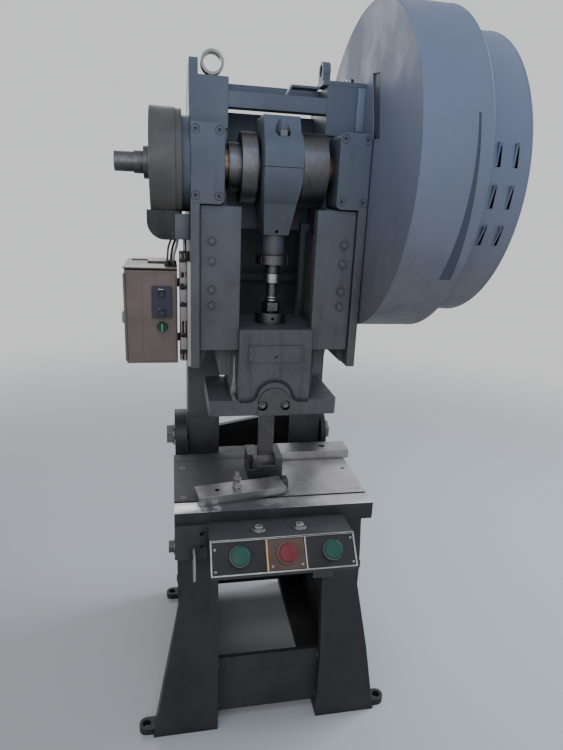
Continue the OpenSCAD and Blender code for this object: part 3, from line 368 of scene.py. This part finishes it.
# The material of each CAD node
LOOK = {
    "paint_low": "left_leg right_leg front_tie rear_tie",
    "paint": "c_frame left_gib right_gib left_bearing_cap right_bearing_cap tie_bar guard_bracket "
             "motor_bracket brake_bracket connecting_rod rod_cap ram ram_plate motor gib_screws cap_bolts",
    "paint_guard": "guard_drum guard_cover",
    "paint_brake": "brake_band",
    "paint_cab": "cabinet_body cabinet_door",
    "shell": "brake_shell",
    "table": "bolster_plate",
    "steel": "strap_clamp rear_clamp_bar clamp_studs brake_drum flywheel motor_pulley",
    "dark_steel": "die_block punch shank_clamp crankshaft lock_nut adjusting_screw ball_cap rod_bolts",
    "bolts": "pivot_bolts lock_bolts brake_bolt clamp_nuts lifting_ring",
    "bronze": "crank_bushes",
    "panel": "control_panel",
    "box": "control_box box_bracket",
    "green": "left_green_button right_green_button",
    "red": "red_button",
    "knob": "selector_knob",
    "blue": "switch_plate stop_button start_button",
    "pvc": "cable_conduit",
    "rubber": "drive_belts",
    "lining": "brake_lining",
}
for look, nodes in LOOK.items():
    for node in nodes.split():
        NODES[node].data.materials.clear()
        NODES[node].data.materials.append(mats[look])


# Building tools
def put(name, bm, look, body, smooth=35.0):
    """Makes a piece from a bmesh drawn in millimetres in the row frame, and lets it ride a body."""
    bmesh.ops.remove_doubles(bm, verts=bm.verts, dist=0.001)
    bmesh.ops.recalc_face_normals(bm, faces=bm.faces)
    bmesh.ops.scale(bm, vec=(MM, MM, MM), verts=bm.verts)
    mesh = bpy.data.meshes.new(name)
    bm.to_mesh(mesh)
    bm.free()
    mesh.materials.append(mats[look])
    for p in mesh.polygons:
        p.use_smooth = True
    mesh.set_sharp_from_angle(angle=math.radians(smooth))
    o = bpy.data.objects.new(name, mesh)
    link(o)
    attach(o, body)


def facing(at, way, turn=0.0):
    """A matrix whose Z looks along way, standing at the point at."""
    z = Vector(way).normalized()
    q = z.to_track_quat("Z", "Y")
    return Matrix.Translation(Vector(at)) @ q.to_matrix().to_4x4() @ Matrix.Rotation(turn, 4, "Z")


def front_plane(y):
    """A matrix whose X is the row's X, whose Y points up, and whose Z points to the front from Y = y."""
    return Matrix(((1, 0, 0, 0), (0, 0, -1, y), (0, 1, 0, 0), (0, 0, 0, 1)))


def side_plane(z):
    """A matrix whose X is the row's Y, whose Y points up from Z = z, and whose Z is the row's X."""
    return Matrix(((0, 0, 1, 0), (1, 0, 0, 0), (0, 1, 0, z), (0, 0, 0, 1)))


def circle(at, r, h, sides):
    """Points of a circle of radius r at height h in the matrix at."""
    return [at @ Vector((r * math.cos(2 * math.pi * i / sides), r * math.sin(2 * math.pi * i / sides), h))
            for i in range(sides)]


def skin(bm, loops, closed):
    """Joins neighbouring loops of vertices with faces, each loop closed onto itself or left open."""
    for a, b in zip(loops, loops[1:]):
        for i in range(len(a) if closed else len(a) - 1):
            j = (i + 1) % len(a)
            bm.faces.new((a[i], a[j], b[j], b[i]))


def end_caps(bm, loops):
    """Closes the first and the last of a row of loops."""
    bm.faces.new(list(reversed(loops[0])))
    bm.faces.new(loops[-1])


def lathe(bm, at, rings, sides=32):
    """Adds a closed turned body: rings are (radius, height) pairs from the bottom up, at is its matrix.

    A last radius of 0 closes it with a tip.
    """
    loops = []
    for r, h in rings:
        points = circle(at, r, h, sides) if r else [at @ Vector((0, 0, h))]
        loops.append([bm.verts.new(p) for p in points])
    tip = len(loops[-1]) == 1
    skin(bm, loops[:-1] if tip else loops, True)
    bm.faces.new(list(reversed(loops[0])))
    if tip:
        rim = loops[-2]
        for i in range(sides):
            bm.faces.new((rim[i], rim[(i + 1) % sides], loops[-1][0]))
    else:
        bm.faces.new(loops[-1])


def ring(bm, at, r_in, r_out, h0, h1, sides=32):
    """Adds a ring from height h0 to h1 with softened top edges."""
    c = min(0.25 * (r_out - r_in), 0.4 * (h1 - h0), 0.8)
    rows = [(r_in, h0), (r_out, h0), (r_out, h1 - c), (r_out - c, h1), (r_in + c, h1), (r_in, h1 - c)]
    loops = [[bm.verts.new(p) for p in circle(at, r, h, sides)] for r, h in rows]
    skin(bm, loops + loops[:1], True)


def bar(bm, at, x, y, z, chamfer=0.6):
    """Adds a box from (x0, x1) × (y0, y1) × (z0, z1) in the matrix at, with chamfered edges."""
    made = bmesh.ops.create_cube(bm, size=1.0)["verts"]
    for v in made:
        v.co = at @ Vector([(lo + hi) / 2 + share * (hi - lo) for share, (lo, hi) in zip(v.co, (x, y, z))])
    edges = list({e for v in made for e in v.link_edges})
    c = min(chamfer, 0.3 * min(hi - lo for lo, hi in (x, y, z)))
    bmesh.ops.bevel(bm, geom=edges, offset=c, segments=2, affect="EDGES", profile=0.5)


def slab(bm, points, at, h0, h1):
    """Adds a plate: points are its outline in the matrix's X and Y, from height h0 to h1."""
    loops = [[bm.verts.new(at @ Vector((x, y, h))) for x, y in points] for h in (h0, h1)]
    skin(bm, loops, True)
    end_caps(bm, loops)


# Bolt heads: across the flats, head height, washer radius and washer thickness
BOLT_LARGE = (24, 12, 18, 3)
BOLT_BOX = (18, 7.5, 16.5, 2.2)
BOLT_MIDDLE = (17, 8, 12, 2.5)
BOLT_LOW = (17, 7, 12, 2)
BOLT_SMALL = (13, 5, 10, 1.6)


def hex_bolt(bm, at, across, head, washer, thick):
    """Adds a hexagon head on a round washer: across the flats, head height, washer radius and thickness."""
    lathe(bm, at, [(washer, -0.2), (washer, thick - 0.5), (washer - 0.5, thick)])
    base = thick - 0.1
    r = across / math.sqrt(3)
    lathe(bm, at, [(r, base), (r, base + head * 0.86), (r * 0.88, base + head)], 6)
    lathe(bm, at, [(across * 0.5, base + head - 0.2), (across * 0.44, base + head + 0.5)])


def slot_screw(bm, at, r, h):
    """Adds a round head with a driver slot across it."""
    lathe(bm, at, [(r, -0.2), (r, h * 0.45), (r * 0.93, h * 0.6)])
    for side in (-1, 1):
        arc = [math.radians(-78 + 13 * i) for i in range(13)]
        half = [(side * r * 0.92 * math.cos(a), side * r * 0.92 * math.sin(a)) for a in arc]
        slab(bm, half, at, h * 0.5, h)


def tube(name, points, r, look, body):
    """Makes a bent tube or cable of radius r through points, in millimetres, and lets it ride a body."""
    c = bpy.data.curves.new(name, "CURVE")
    c.dimensions = "3D"
    c.bevel_depth = r * MM
    c.bevel_resolution = 4
    c.resolution_u = 8
    c.use_fill_caps = True
    s = c.splines.new("BEZIER")
    s.bezier_points.add(len(points) - 1)
    for p, q in zip(s.bezier_points, points):
        p.co = Vector(q) * MM
        p.handle_left_type = "AUTO"
        p.handle_right_type = "AUTO"
    c.materials.append(mats[look])
    o = bpy.data.objects.new(name, c)
    link(o)
    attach(o, body)


# Stage: floor, background and lamps
BACKDROP = (0.84, 0.845, 0.86, 1)
FLOOR_COLOUR = (0.60, 0.595, 0.59, 1)
FLOOR_R = 14.0
FLOOR_SIDES = 64
FLOOR_DROP = 0.0005
FADE = (1.6, 4.5)
WORLD_COLOUR = (0.82, 0.91, 1.0, 1)
WORLD_STRENGTH = 0.38


def add_floor():
    """Adds a round floor that takes shadows near the press and fades into the background further out."""
    m = bpy.data.materials.new("floor")
    m.use_nodes = True
    t = m.node_tree
    t.nodes.clear()
    out = t.nodes.new("ShaderNodeOutputMaterial")
    near = t.nodes.new("ShaderNodeBsdfDiffuse")
    near.inputs[0].default_value = FLOOR_COLOUR
    far = t.nodes.new("ShaderNodeEmission")
    far.inputs[0].default_value = BACKDROP
    mix = t.nodes.new("ShaderNodeMixShader")
    coords = t.nodes.new("ShaderNodeTexCoord")
    distance = t.nodes.new("ShaderNodeVectorMath")
    distance.operation = "LENGTH"
    t.links.new(coords.outputs["Object"], distance.inputs[0])
    fade = t.nodes.new("ShaderNodeMapRange")
    fade.interpolation_type = "SMOOTHSTEP"
    fade.inputs[1].default_value = FADE[0]
    fade.inputs[2].default_value = FADE[1]
    t.links.new(distance.outputs["Value"], fade.inputs[0])
    t.links.new(fade.outputs[0], mix.inputs[0])
    t.links.new(near.outputs[0], mix.inputs[1])
    t.links.new(far.outputs[0], mix.inputs[2])
    t.links.new(mix.outputs[0], out.inputs[0])
    mesh = bpy.data.meshes.new("floor")
    mesh.from_pydata(circle(ROW, FLOOR_R, 0, FLOOR_SIDES), [], [tuple(range(FLOOR_SIDES))])
    mesh.materials.append(m)
    floor = bpy.data.objects.new("floor", mesh)
    floor.location.z = -FLOOR_DROP
    link(floor)


def add_world():
    """Adds a world that shows the backdrop to the camera and in reflections, and lights the press softly."""
    w = bpy.data.worlds.new("world")
    bpy.context.scene.world = w
    w.use_nodes = True
    t = w.node_tree
    t.nodes.clear()
    out = t.nodes.new("ShaderNodeOutputWorld")
    seen = t.nodes.new("ShaderNodeBackground")
    seen.inputs[0].default_value = BACKDROP
    lit = t.nodes.new("ShaderNodeBackground")
    lit.inputs[0].default_value = WORLD_COLOUR
    lit.inputs[1].default_value = WORLD_STRENGTH
    path = t.nodes.new("ShaderNodeLightPath")
    either = t.nodes.new("ShaderNodeMath")
    either.operation = "MAXIMUM"
    t.links.new(path.outputs["Is Camera Ray"], either.inputs[0])
    t.links.new(path.outputs["Is Glossy Ray"], either.inputs[1])
    any_of = t.nodes.new("ShaderNodeMath")
    any_of.operation = "MAXIMUM"
    t.links.new(either.outputs[0], any_of.inputs[0])
    t.links.new(path.outputs["Is Transmission Ray"], any_of.inputs[1])
    mix = t.nodes.new("ShaderNodeMixShader")
    t.links.new(any_of.outputs[0], mix.inputs[0])
    t.links.new(lit.outputs[0], mix.inputs[1])
    t.links.new(seen.outputs[0], mix.inputs[2])
    t.links.new(mix.outputs[0], out.inputs[0])


def lamp(name, at, look_at, size, watts, tint):
    """Adds a rectangular area lamp that looks at a point."""
    d = bpy.data.lights.new(name, "AREA")
    d.shape = "RECTANGLE"
    d.size = size[0]
    d.size_y = size[1]
    d.energy = watts
    d.color = tint
    o = bpy.data.objects.new(name, d)
    o.location = at
    o.rotation_mode = "QUATERNION"
    o.rotation_quaternion = (Vector(look_at) - Vector(at)).to_track_quat("-Z", "Y")
    link(o)


add_floor()
add_world()
lamp("window", (2.6, 0.4, 2.6), (0.1, -0.1, 1.2), (1.6, 1.8), 85, (0.70, 0.84, 1.0))
lamp("room", (-2.2, -2.6, 2.6), (0, 0, 0.9), (2.4, 2.0), 18, (1.0, 0.93, 0.87))
lamp("fill", (-0.3, -2.3, 1.9), (0.05, -0.1, 1.35), (0.9, 0.9), 11, (0.84, 0.92, 1.0))
lamp("sky", (0.1, -1.5, 2.9), (0.15, -0.1, 1.55), (0.8, 0.8), 10, (0.50, 0.70, 1.0))
lamp("back", (-0.8, 2.8, 2.6), (0, 0, 1.0), (2.0, 1.6), 30, (0.95, 0.97, 1.0))

# Control box details
PANEL_TILT = math.radians(90 - 42.42)
PANEL_Y = -409.5
PANEL_Z = 629.0
PANEL_HALF_W = 171.5
RIM_W = 3.9
RIM_RUN = (-37.0, 35.5)
PANEL_SCREWS = ((-161, 19), (-161, -29), (-30, -26), (40, -26), (162, 26), (162, -29))
BUTTON_X = {"left_green_button": -105, "red_button": 5, "right_green_button": 114}
BOX_END_AT = (-205.0, -342, 569)


def panel(x, y=0.0, z=0.0):
    """A matrix on the sloping panel: X along it, Y up the slope, Z out of its face."""
    return (Matrix.Translation((x, PANEL_Y, PANEL_Z)) @ Matrix.Rotation(PANEL_TILT, 4, "X")
            @ Matrix.Translation((0, y, z)))


def plate_with_hole(bm, at, x, y, r, h0, h1, sides=48):
    """Adds a rectangular plate with a round hole of radius r at the matrix's origin."""
    def reach(a):
        c = math.cos(a)
        s = math.sin(a)
        across = (x[1] if c > 0 else x[0]) / c if abs(c) > 1e-9 else 1e9
        along = (y[1] if s > 0 else y[0]) / s if abs(s) > 1e-9 else 1e9
        return min(across, along)

    corners = [math.atan2(cy, cx) % (2 * math.pi) for cx in x for cy in y]
    angles = sorted({round(a, 6) for a in [2 * math.pi * i / sides for i in range(sides)] + corners})
    loops = []
    for outer, h in ((True, h0), (False, h0), (False, h1), (True, h1)):
        loop = []
        for a in angles:
            d = reach(a) if outer else r
            loop.append(bm.verts.new(at @ Vector((d * math.cos(a), d * math.sin(a), h))))
        loops.append(loop)
    skin(bm, loops + loops[:1], True)


bm = bmesh.new()
bar(bm, panel(0), (-PANEL_HALF_W, PANEL_HALF_W), (35.0, 40.0), (2.2, 5.4))
bar(bm, panel(0), (-PANEL_HALF_W, PANEL_HALF_W), (-40.0, -36.4), (2.2, 5.0))
bar(bm, panel(0), (-PANEL_HALF_W, RIM_W - PANEL_HALF_W), RIM_RUN, (2.2, 4.8))
bar(bm, panel(0), (PANEL_HALF_W - RIM_W, PANEL_HALF_W), RIM_RUN, (2.2, 4.8))
bar(bm, panel(0), (49.0, 52.4), RIM_RUN, (2.4, 4.6))
put("panel_rims", bm, "rim", "frame")
bm = bmesh.new()
bar(bm, panel(0), (-43.5, -38.5), RIM_RUN, (2.4, 4.8))
put("brass_rib", bm, "brass", "frame")
bm = bmesh.new()
bar(bm, panel(0), (-170, 170), (36.6, 38.2), (5.0, 5.7), 0.2)
put("rim_seam", bm, "void", "frame")
bm = bmesh.new()
plate_with_hole(bm, panel(BUTTON_X["red_button"]), (-42.5, 42.5), (-35.0, 34.0), 9.6, 2.6, 3.5)
put("panel_label_field", bm, "yellow", "frame")
bm = bmesh.new()
for x in BUTTON_X.values():
    ring(bm, panel(x), 9.4, 17.0, 2.6, 4.6)
put("button_collars", bm, "dark_steel", "frame")
bm = bmesh.new()
for x, y in PANEL_SCREWS:
    slot_screw(bm, panel(x, y, 2.9), 3.3, 2.0)
put("panel_screws", bm, "bolts", "frame")
bm = bmesh.new()
for x in (-52, 48):
    hex_bolt(bm, facing((x, -345, 658), UP, 0.4), *BOLT_BOX)
put("box_bolts", bm, "steel", "frame")
bm = bmesh.new()
for z in (632.0, 598.0):
    ring(bm, facing((-184, -308, z), FRONT), 6.2, 9.4, -0.1, 1.2)
bar(bm, ROW, (64, 112), (-437.5, -434.5), (577, 600), 0.8)
put("box_small_parts", bm, "box", "frame")
CAP_PROFILE = [(8.0, 11.0), (20.2, 11.0), (22.35, 12.6), (22.35, 18.6), (21.0, 21.2), (17.0, 22.9),
               (9.0, 23.7), (0, 23.9)]
for name, x in BUTTON_X.items():
    bm = bmesh.new()
    lathe(bm, panel(x), CAP_PROFILE, 64)
    put(name + "_head", bm, "red" if name == "red_button" else "green", name)
    bm = bmesh.new()
    ring(bm, panel(x), 21.8, 23.5, 11.0, 13.2, 64)
    put(name + "_bezel", bm, "rim", name)

# Table details
TABLE_HALF_W = 250
TABLE_Z = 685.0
BOLSTER_SCREWS = ((-226, -58), (-226, -222), (232, -222), (226, -40))
HEEL_OUTLINE = [(-205, 0), (-160, 0), (-160, 3), (-176, 24), (-205, 24)]
STUD_AT = (-92, -224, TABLE_Z + 42)
bm = bmesh.new()
bar(bm, ROW, (-TABLE_HALF_W, TABLE_HALF_W), (-300, -250.6), (TABLE_Z - 1.0, TABLE_Z + 0.5), 0.4)
put("front_land_face", bm, "land", "frame")
bm = bmesh.new()
bar(bm, ROW, (-TABLE_HALF_W, 51.5), (-11.8, 28.0), (TABLE_Z - 1.0, TABLE_Z + 0.4), 0.3)
put("rear_land_face", bm, "table", "frame")
bm = bmesh.new()
slab(bm, HEEL_OUTLINE, side_plane(TABLE_Z + 0.3), 31.5, 46.0)
put("strap_heel", bm, "dark_steel", "frame")
bm = bmesh.new()
lathe(bm, facing(STUD_AT, UP), [(10.5, 0), (10.5, 7.0), (9.2, 8.4)], 6)
lathe(bm, facing(STUD_AT, UP), [(5.8, 0), (5.8, 21), (4.8, 23)])
put("stud_end", bm, "bolts", "frame")
# The disc at the left end of the control box
bm = bmesh.new()
lathe(bm, facing(BOX_END_AT, LEFT), [(36.5, -1.6), (37.2, -1.2), (37.2, 1.2), (36.5, 1.6)], 72)
put("box_end_disc", bm, "box", "frame")
# The light rim of the disc: worn paint together with a painted highlight on its chamfer.
bm = bmesh.new()
ring(bm, facing(BOX_END_AT, LEFT), 34.5, 38.6, -2.4, 2.4, 72)
put("box_end_disc_rim", bm, "strip", "frame")
bm = bmesh.new()
for x, y in BOLSTER_SCREWS:
    at = facing((x, y, TABLE_Z - 0.4), UP)
    ring(bm, at, 4.6, 7.0, 0, 0.7)
    lathe(bm, at, [(4.7, 0.0), (4.7, 0.25)], 24)
put("bolster_screws", bm, "bolts", "frame")

# Ram and adjusting screw details
RAM_FRONT = -199.0
LUG_FRONT = -149.6
PLATE_SCREW_X = 61
SCREW_Y = -102
bm = bmesh.new()
for x in (-PLATE_SCREW_X, PLATE_SCREW_X):
    for z in (1063, 1040):
        slot_screw(bm, facing((x, RAM_FRONT, z), FRONT, 0.7 + 0.01 * x), 4.2, 2.2)
put("ram_plate_screws", bm, "dark_steel", "ram")
bm = bmesh.new()
ring(bm, facing((1, RAM_FRONT, 1044), FRONT), 4.6, 6.6, -0.2, 0.8)
put("ram_plate_eyelet", bm, "dark_steel", "ram")
bm = bmesh.new()
WAY_OUTLINE = [(-105.6, 933.5), (-90.4, 933.5), (-90.4, 952), (-93.2, 978), (-95.4, 1034), (-97.6, 1034),
               (-99.4, 978), (-103.2, 952)]
slab(bm, WAY_OUTLINE, front_plane(LUG_FRONT), 0.0, 1.1)
bar(bm, ROW, (-104.0, -91.0), (-195.0, LUG_FRONT - 0.2), (932.6, 933.8), 0.3)
put("bare_way", bm, "way", "ram")


def ribbon(name, path, width, depth, y, look, body):
    """Makes a flat strip along a path in X and Z, standing on the plane Y = y and facing the front."""
    points = [Vector(p) for p in path]
    last = len(points) - 1
    side = []
    for i in range(last + 1):
        d = (points[min(i + 1, last)] - points[max(i - 1, 0)]).normalized()
        side.append(Vector((-d.y, d.x)) * width / 2)
    bm = bmesh.new()
    rows = []
    for s, depth_y in ((1, y + 0.2), (1, y - depth), (-1, y - depth), (-1, y + 0.2)):
        rows.append([bm.verts.new((p.x + s * q.x, depth_y, p.y + s * q.y)) for p, q in zip(points, side)])
    skin(bm, rows + rows[:1], False)
    bm.faces.new([r[0] for r in rows])
    bm.faces.new([r[-1] for r in reversed(rows)])
    put(name, bm, look, body)


def turn_about(x, z, r, a0, a1):
    """Points of an arc in X and Z, from angle a0 to a1 in degrees."""
    steps = max(2, round(abs(a1 - a0) / 6))
    turns = [math.radians(a0 + (a1 - a0) * i / steps) for i in range(steps + 1)]
    return [(x + r * math.cos(t), z + r * math.sin(t)) for t in turns]


# The bell-shaped step of the ram: a flat, a hollow, the crown, a hollow and a flat. A dark strip follows
# it, INSET within the edge, as the painted shadow of the step's edge. MEET is the angle at which a hollow
# goes over into the crown.
STEP_Z = 933.0
STEP_HALF_W = 88.0
CROWN_R = 49.0
HOLLOW_R = 19.5
HOLLOW_X = 66.0
INSET = 3.0
MEET = 13.6
flat_z = STEP_Z + 20 - HOLLOW_R - INSET
path = [(-STEP_HALF_W, flat_z)]
path += turn_about(-HOLLOW_X, STEP_Z + 20, HOLLOW_R + INSET, -90, -MEET)
path += turn_about(0, STEP_Z + 4, CROWN_R - INSET, 180 - MEET, MEET)
path += turn_about(HOLLOW_X, STEP_Z + 20, HOLLOW_R + INSET, 180 + MEET, 270)
path += [(STEP_HALF_W, flat_z)]
ribbon("bell_groove", path, 7.0, 0.5, RAM_FRONT - 2.0, "groove", "ram")
bm = bmesh.new()
lathe(bm, facing((0, SCREW_Y, 1214), UP), [(19.0, -0.4), (21.5, 0.8), (21.5, 22.2), (19.0, 23.4)], 48)
put("screw_collar", bm, "steel", "conrod")
bm = bmesh.new()
for z in (1176.0, 1169.0):
    lathe(bm, facing((0, SCREW_Y, z), UP), [(15.5, -0.2), (17.4, 0.8), (17.4, 3.2), (15.5, 4.2)], 40)
put("screw_rings", bm, "steel", "conrod")

# Cabinet details: CAB is its left side, its front and its top, and SWITCH_X the middle of its switches
CAB_X = -361.0
CAB_Y = -96.0
CAB_Z = 1243.0
SWITCH_X = -273
SELECTOR_Z = CAB_Z - 144
GLANDS = ((-258, -60), (-243, -60), (-250, -30))
MARK_Y = (CAB_Y - 11.7, CAB_Y - 10.6)
LINE_Y = (CAB_Y - 11.8, CAB_Y - 10.8)
bm = bmesh.new()
for z, h in ((CAB_Z - 52, 2.6), (CAB_Z - 100, 1.2)):
    bar(bm, ROW, (-281, -269), MARK_Y, (z, z + h), 0.3)
put("switch_marks", bm, "white", "cabinet_door")
bm = bmesh.new()
bar(bm, ROW, (SWITCH_X - 15, SWITCH_X + 15), LINE_Y, (CAB_Z - 116.5, CAB_Z - 114.5), 0.3)
for z in (CAB_Z - 62, CAB_Z - 108):
    ring(bm, facing((SWITCH_X, CAB_Y - 10.8, z), FRONT), 7.6, 9.6, 0, 1.6)
put("switch_trim", bm, "blue", "cabinet_door")
bm = bmesh.new()
ring(bm, facing((SWITCH_X, CAB_Y - 5.5, SELECTOR_Z), FRONT), 11.6, 13.8, 0, 3.4)
put("selector_bezel", bm, "dark_steel", "cabinet_door")
bm = bmesh.new()
bar(bm, facing((SWITCH_X, CAB_Y - 18, SELECTOR_Z), FRONT), (-1.6, 1.6), (-9.5, 9.5), (-1.0, 3.6), 0.8)
put("selector_grip", bm, "green_glow", "selector")
bm = bmesh.new()
PLUG_PROFILE = [(20, -0.5), (20, 4.5), (16, 5.2), (16, 11), (13, 13.5)]
lathe(bm, facing((CAB_X, -34, CAB_Z - 134), LEFT), PLUG_PROFILE, 48)
put("side_plug", bm, "green_glow", "frame")
bm = bmesh.new()
bar(bm, ROW, (-309, -262), (-2, 92), (CAB_Z + 0.6, CAB_Z + 6.5), 1.0)
bar(bm, ROW, (-352, -290), (62, 98), (CAB_Z + 0.6, CAB_Z + 4.0), 1.0)
put("cabinet_lid_covers", bm, "paint_cab", "frame")
bm = bmesh.new()
for x, y in GLANDS:
    at = facing((x, y, CAB_Z + 0.8), UP)
    lathe(bm, at, [(8.5, 0), (8.5, 4)], 6)
    lathe(bm, at, [(6.6, 3.6), (6.6, 11), (5.2, 13)], 24)
put("cable_glands", bm, "black", "frame")

# Wires from the glands of the cabinet up to the brake shell, and the harness on the front of the conduit
LEAD_1 = [(-243, -60, CAB_Z + 8), (-242.5, -61, CAB_Z + 26), (-236, -64, CAB_Z + 50), (-232, -66, CAB_Z + 72),
          (-229, -60, CAB_Z + 86)]
LEAD_2 = [(-258, -60, CAB_Z + 8), (-257.5, -58, CAB_Z + 30), (-254, -54, CAB_Z + 52), (-243, -48, CAB_Z + 74),
          (-232, -40, CAB_Z + 86)]
LEAD_3 = [(-250, -30, CAB_Z + 8), (-248, -30, CAB_Z + 30), (-240, -30, CAB_Z + 60), (-230, -28, CAB_Z + 80)]
BRAKE_PIPE = [(-216, -70, 1262), (-216, -70, 1290), (-216, -66, 1318)]
CLIP_Z = (1030, 1074, 1152, 1196, 1262)
SLEEVE_Z = ((1036, 1068), (1110, 1147), (1158, 1190), (1204, 1220), (1232, 1257))
HARNESS = ((-226.5, "lead"), (-221.5, "pvc"), (-216.5, "lead"), (-211.5, "lead_brown"))
HARNESS_Y = -86.5
HARNESS_Z = 1006
HARNESS_STEP = 34.0
HARNESS_POINTS = 9
tube("lead_1", LEAD_1, 3.1, "lead", "frame")
tube("lead_2", LEAD_2, 2.6, "lead_brown", "frame")
tube("lead_3", LEAD_3, 3.0, "pvc", "frame")
for i, (x, look) in enumerate(HARNESS):
    points = []
    for k in range(HARNESS_POINTS):
        sway = 1.2 * math.sin(1.7 * i + 0.9 * k)
        lift = 0.8 * math.cos(2.1 * i + k)
        points.append((x + sway, HARNESS_Y + lift, HARNESS_Z + k * HARNESS_STEP))
    tube("harness_%d" % i, points, 2.5, look, "frame")
bm = bmesh.new()
for z in CLIP_Z:
    bar(bm, ROW, (-230.5, -206.5), (-91.5, -83.0), (z - 4, z + 4), 1.2)
put("harness_clips", bm, "black", "frame")
bm = bmesh.new()
for z0, z1 in SLEEVE_Z:
    bar(bm, ROW, (-229, -211.5), (-90.4, -84.0), (z0, z1), 1.5)
put("harness_sleeves", bm, "lead", "frame")
tube("brake_pipe", BRAKE_PIPE, 4.2, "rim", "frame")

# Frame, brake and head details
FRAME_SIDE = -205.6
TIE_STRAP = [(18, 1644.8), (24, 1644.8), (32, 1664), (97, 1664), (97, 1669), (30, 1669)]
# A light strip on the left side of the frame: a painted highlight where the side face catches the light.
bm = bmesh.new()
bar(bm, ROW, (-213.0, -204.8), (-189.0, -168.0), (1020.0, 1268.0), 1.0)
put("left_edge_highlight", bm, "strip", "frame")
bm = bmesh.new()
bar(bm, ROW, (188.4, 207.6), (-104.0, -34.0), (1577.4, 1672.0), 0.8)
put("guard_filler", bm, "paint_guard", "frame")
bm = bmesh.new()
slab(bm, TIE_STRAP, front_plane(-62), 0.0, 34.0)
put("tie_bar_strap", bm, "paint", "frame")
bm = bmesh.new()
bar(bm, ROW, (-240, FRAME_SIDE), (-163.5, -157.0), (1316, 1373), 2.0)
bar(bm, ROW, (-222, FRAME_SIDE), (-158.0, -142.5), (1318, 1371), 1.0)
put("brake_link_plate", bm, "paint", "frame")
bm = bmesh.new()
for x in (-120, 120):
    for z in (1196, 1360):
        hex_bolt(bm, facing((x, 312, z), BACK, 0.2), *BOLT_LARGE)
put("motor_bracket_bolts", bm, "bolts", "frame")
bm = bmesh.new()
for x in (-18, 118):
    for y in (408, 532):
        hex_bolt(bm, facing((x, y, 1222), UP, 0.3), *BOLT_MIDDLE)
put("motor_foot_bolts", bm, "bolts", "frame")
bm = bmesh.new()
for y in (-84, -56):
    hex_bolt(bm, facing((172, y, 1683), UP, 0.5), *BOLT_LOW)
put("guard_bracket_bolts", bm, "bolts", "frame")
bm = bmesh.new()
for x in (-170, -148, 148, 170):
    for z in (62, 198):
        hex_bolt(bm, facing((x, -278, z), FRONT, 0.1), *BOLT_MIDDLE)
        hex_bolt(bm, facing((x, 276, z), BACK, 0.1), *BOLT_MIDDLE)
put("tie_plate_bolts", bm, "bolts", "stand")

# Guard details: the crank axis, where the large drum and the small drum start and end, and their radii
CRANK_Y = -90
CRANK_Z = 1482
GUARD_X0 = 208.0
GUARD_X1 = 352.0
GUARD_X2 = 462.0
DRUM_R = 369.0
COVER_R = 327.0
DRUM_ARC = (48, 262)
WHOLE = (0.0, 360.0)
COVER_BOLTS = 8
COVER_BOLT_R = 292
LOUVRE_ROWS = (176, 190, 204)
LOUVRE_COLUMNS = (40, 78)
LOUVRE_LEAN = Matrix.Rotation(math.radians(9), 4, "X")


def around_crank(x, r, t):
    """A point at radius r and angle t about the crankshaft's axis."""
    return (x, CRANK_Y + r * math.cos(t), CRANK_Z + r * math.sin(t))


def bead(name, x, r, wire, arc):
    """Makes a rolled sheet edge of wire radius along an arc about the crankshaft, in degrees."""
    a0, a1 = arc
    steps = max(8, int(abs(a1 - a0) / 3))
    closed = arc == WHOLE
    section = [math.pi * k / 4 for k in range(8)]
    bm = bmesh.new()
    loops = []
    for i in range(steps if closed else steps + 1):
        t = math.radians(a0 + (a1 - a0) * i / steps)
        loops.append([bm.verts.new(around_crank(x + wire * math.sin(u), r + wire * math.cos(u), t))
                      for u in section])
    if closed:
        skin(bm, loops + loops[:1], True)
    else:
        skin(bm, loops, True)
        end_caps(bm, loops)
    put(name, bm, "paint_guard", "frame", smooth=60)


def guard_groove(name, x, a0, step, count):
    """Makes the painted shadow on the large drum: a dark curved mark which widens from its upper end to its
    lower end.
    """
    bm = bmesh.new()
    loops = []
    for i in range(count):
        t = math.radians(a0 + step * i)
        half = (4.5 + 22 * (i / (count - 1)) ** 1.6) / 2
        section = ((half, DRUM_R + 0.5), (-half, DRUM_R + 0.5), (-half, DRUM_R - 0.6), (half, DRUM_R - 0.6))
        loops.append([bm.verts.new(around_crank(x + off, r, t)) for off, r in section])
    skin(bm, loops, True)
    end_caps(bm, loops)
    put(name, bm, "guard_shade", "frame")


# The painted shadow where the large drum meets the small one.
guard_groove("guard_groove", 322, 164, 2, 27)
# A dark plate behind the slot in the guard: painted shade of the drum's inside.
bm = bmesh.new()
bar(bm, ROW, (GUARD_X0 + 3.2, GUARD_X0 + 4.2), (-232, -134), (1546, 1703), 0.3)
put("guard_slot_shade_plate", bm, "guard_shade", "frame")
bead("guard_edge_left", GUARD_X0 + 1.2, DRUM_R - 1.0, 1.7, DRUM_ARC)
bead("guard_edge_mid", GUARD_X1 - 1.2, DRUM_R - 1.0, 1.5, DRUM_ARC)
bead("cover_edge", GUARD_X2 - 1.0, COVER_R - 1.0, 1.7, WHOLE)
bead("cover_edge_inner", GUARD_X1 + 13.2, COVER_R - 1.0, 1.4, WHOLE)
bm = bmesh.new()
for i in range(COVER_BOLTS):
    t = 2 * math.pi * (i + 0.5) / COVER_BOLTS
    hex_bolt(bm, facing(around_crank(GUARD_X2, COVER_BOLT_R, t), RIGHT, t), *BOLT_SMALL)
put("cover_bolts", bm, "bolts", "frame")
bm = bmesh.new()
for a in LOUVRE_ROWS:
    for x in LOUVRE_COLUMNS:
        at = (Matrix.Translation((GUARD_X1 + x, CRANK_Y, CRANK_Z)) @ Matrix.Rotation(math.radians(a), 4, "X")
              @ Matrix.Translation((0, COVER_R, 0)) @ LOUVRE_LEAN)
        bar(bm, at, (-6.6, -4.2), (-4.5, 2.2), (-33, 11), 0.6)
put("louvre_lips", bm, "paint_guard", "frame")
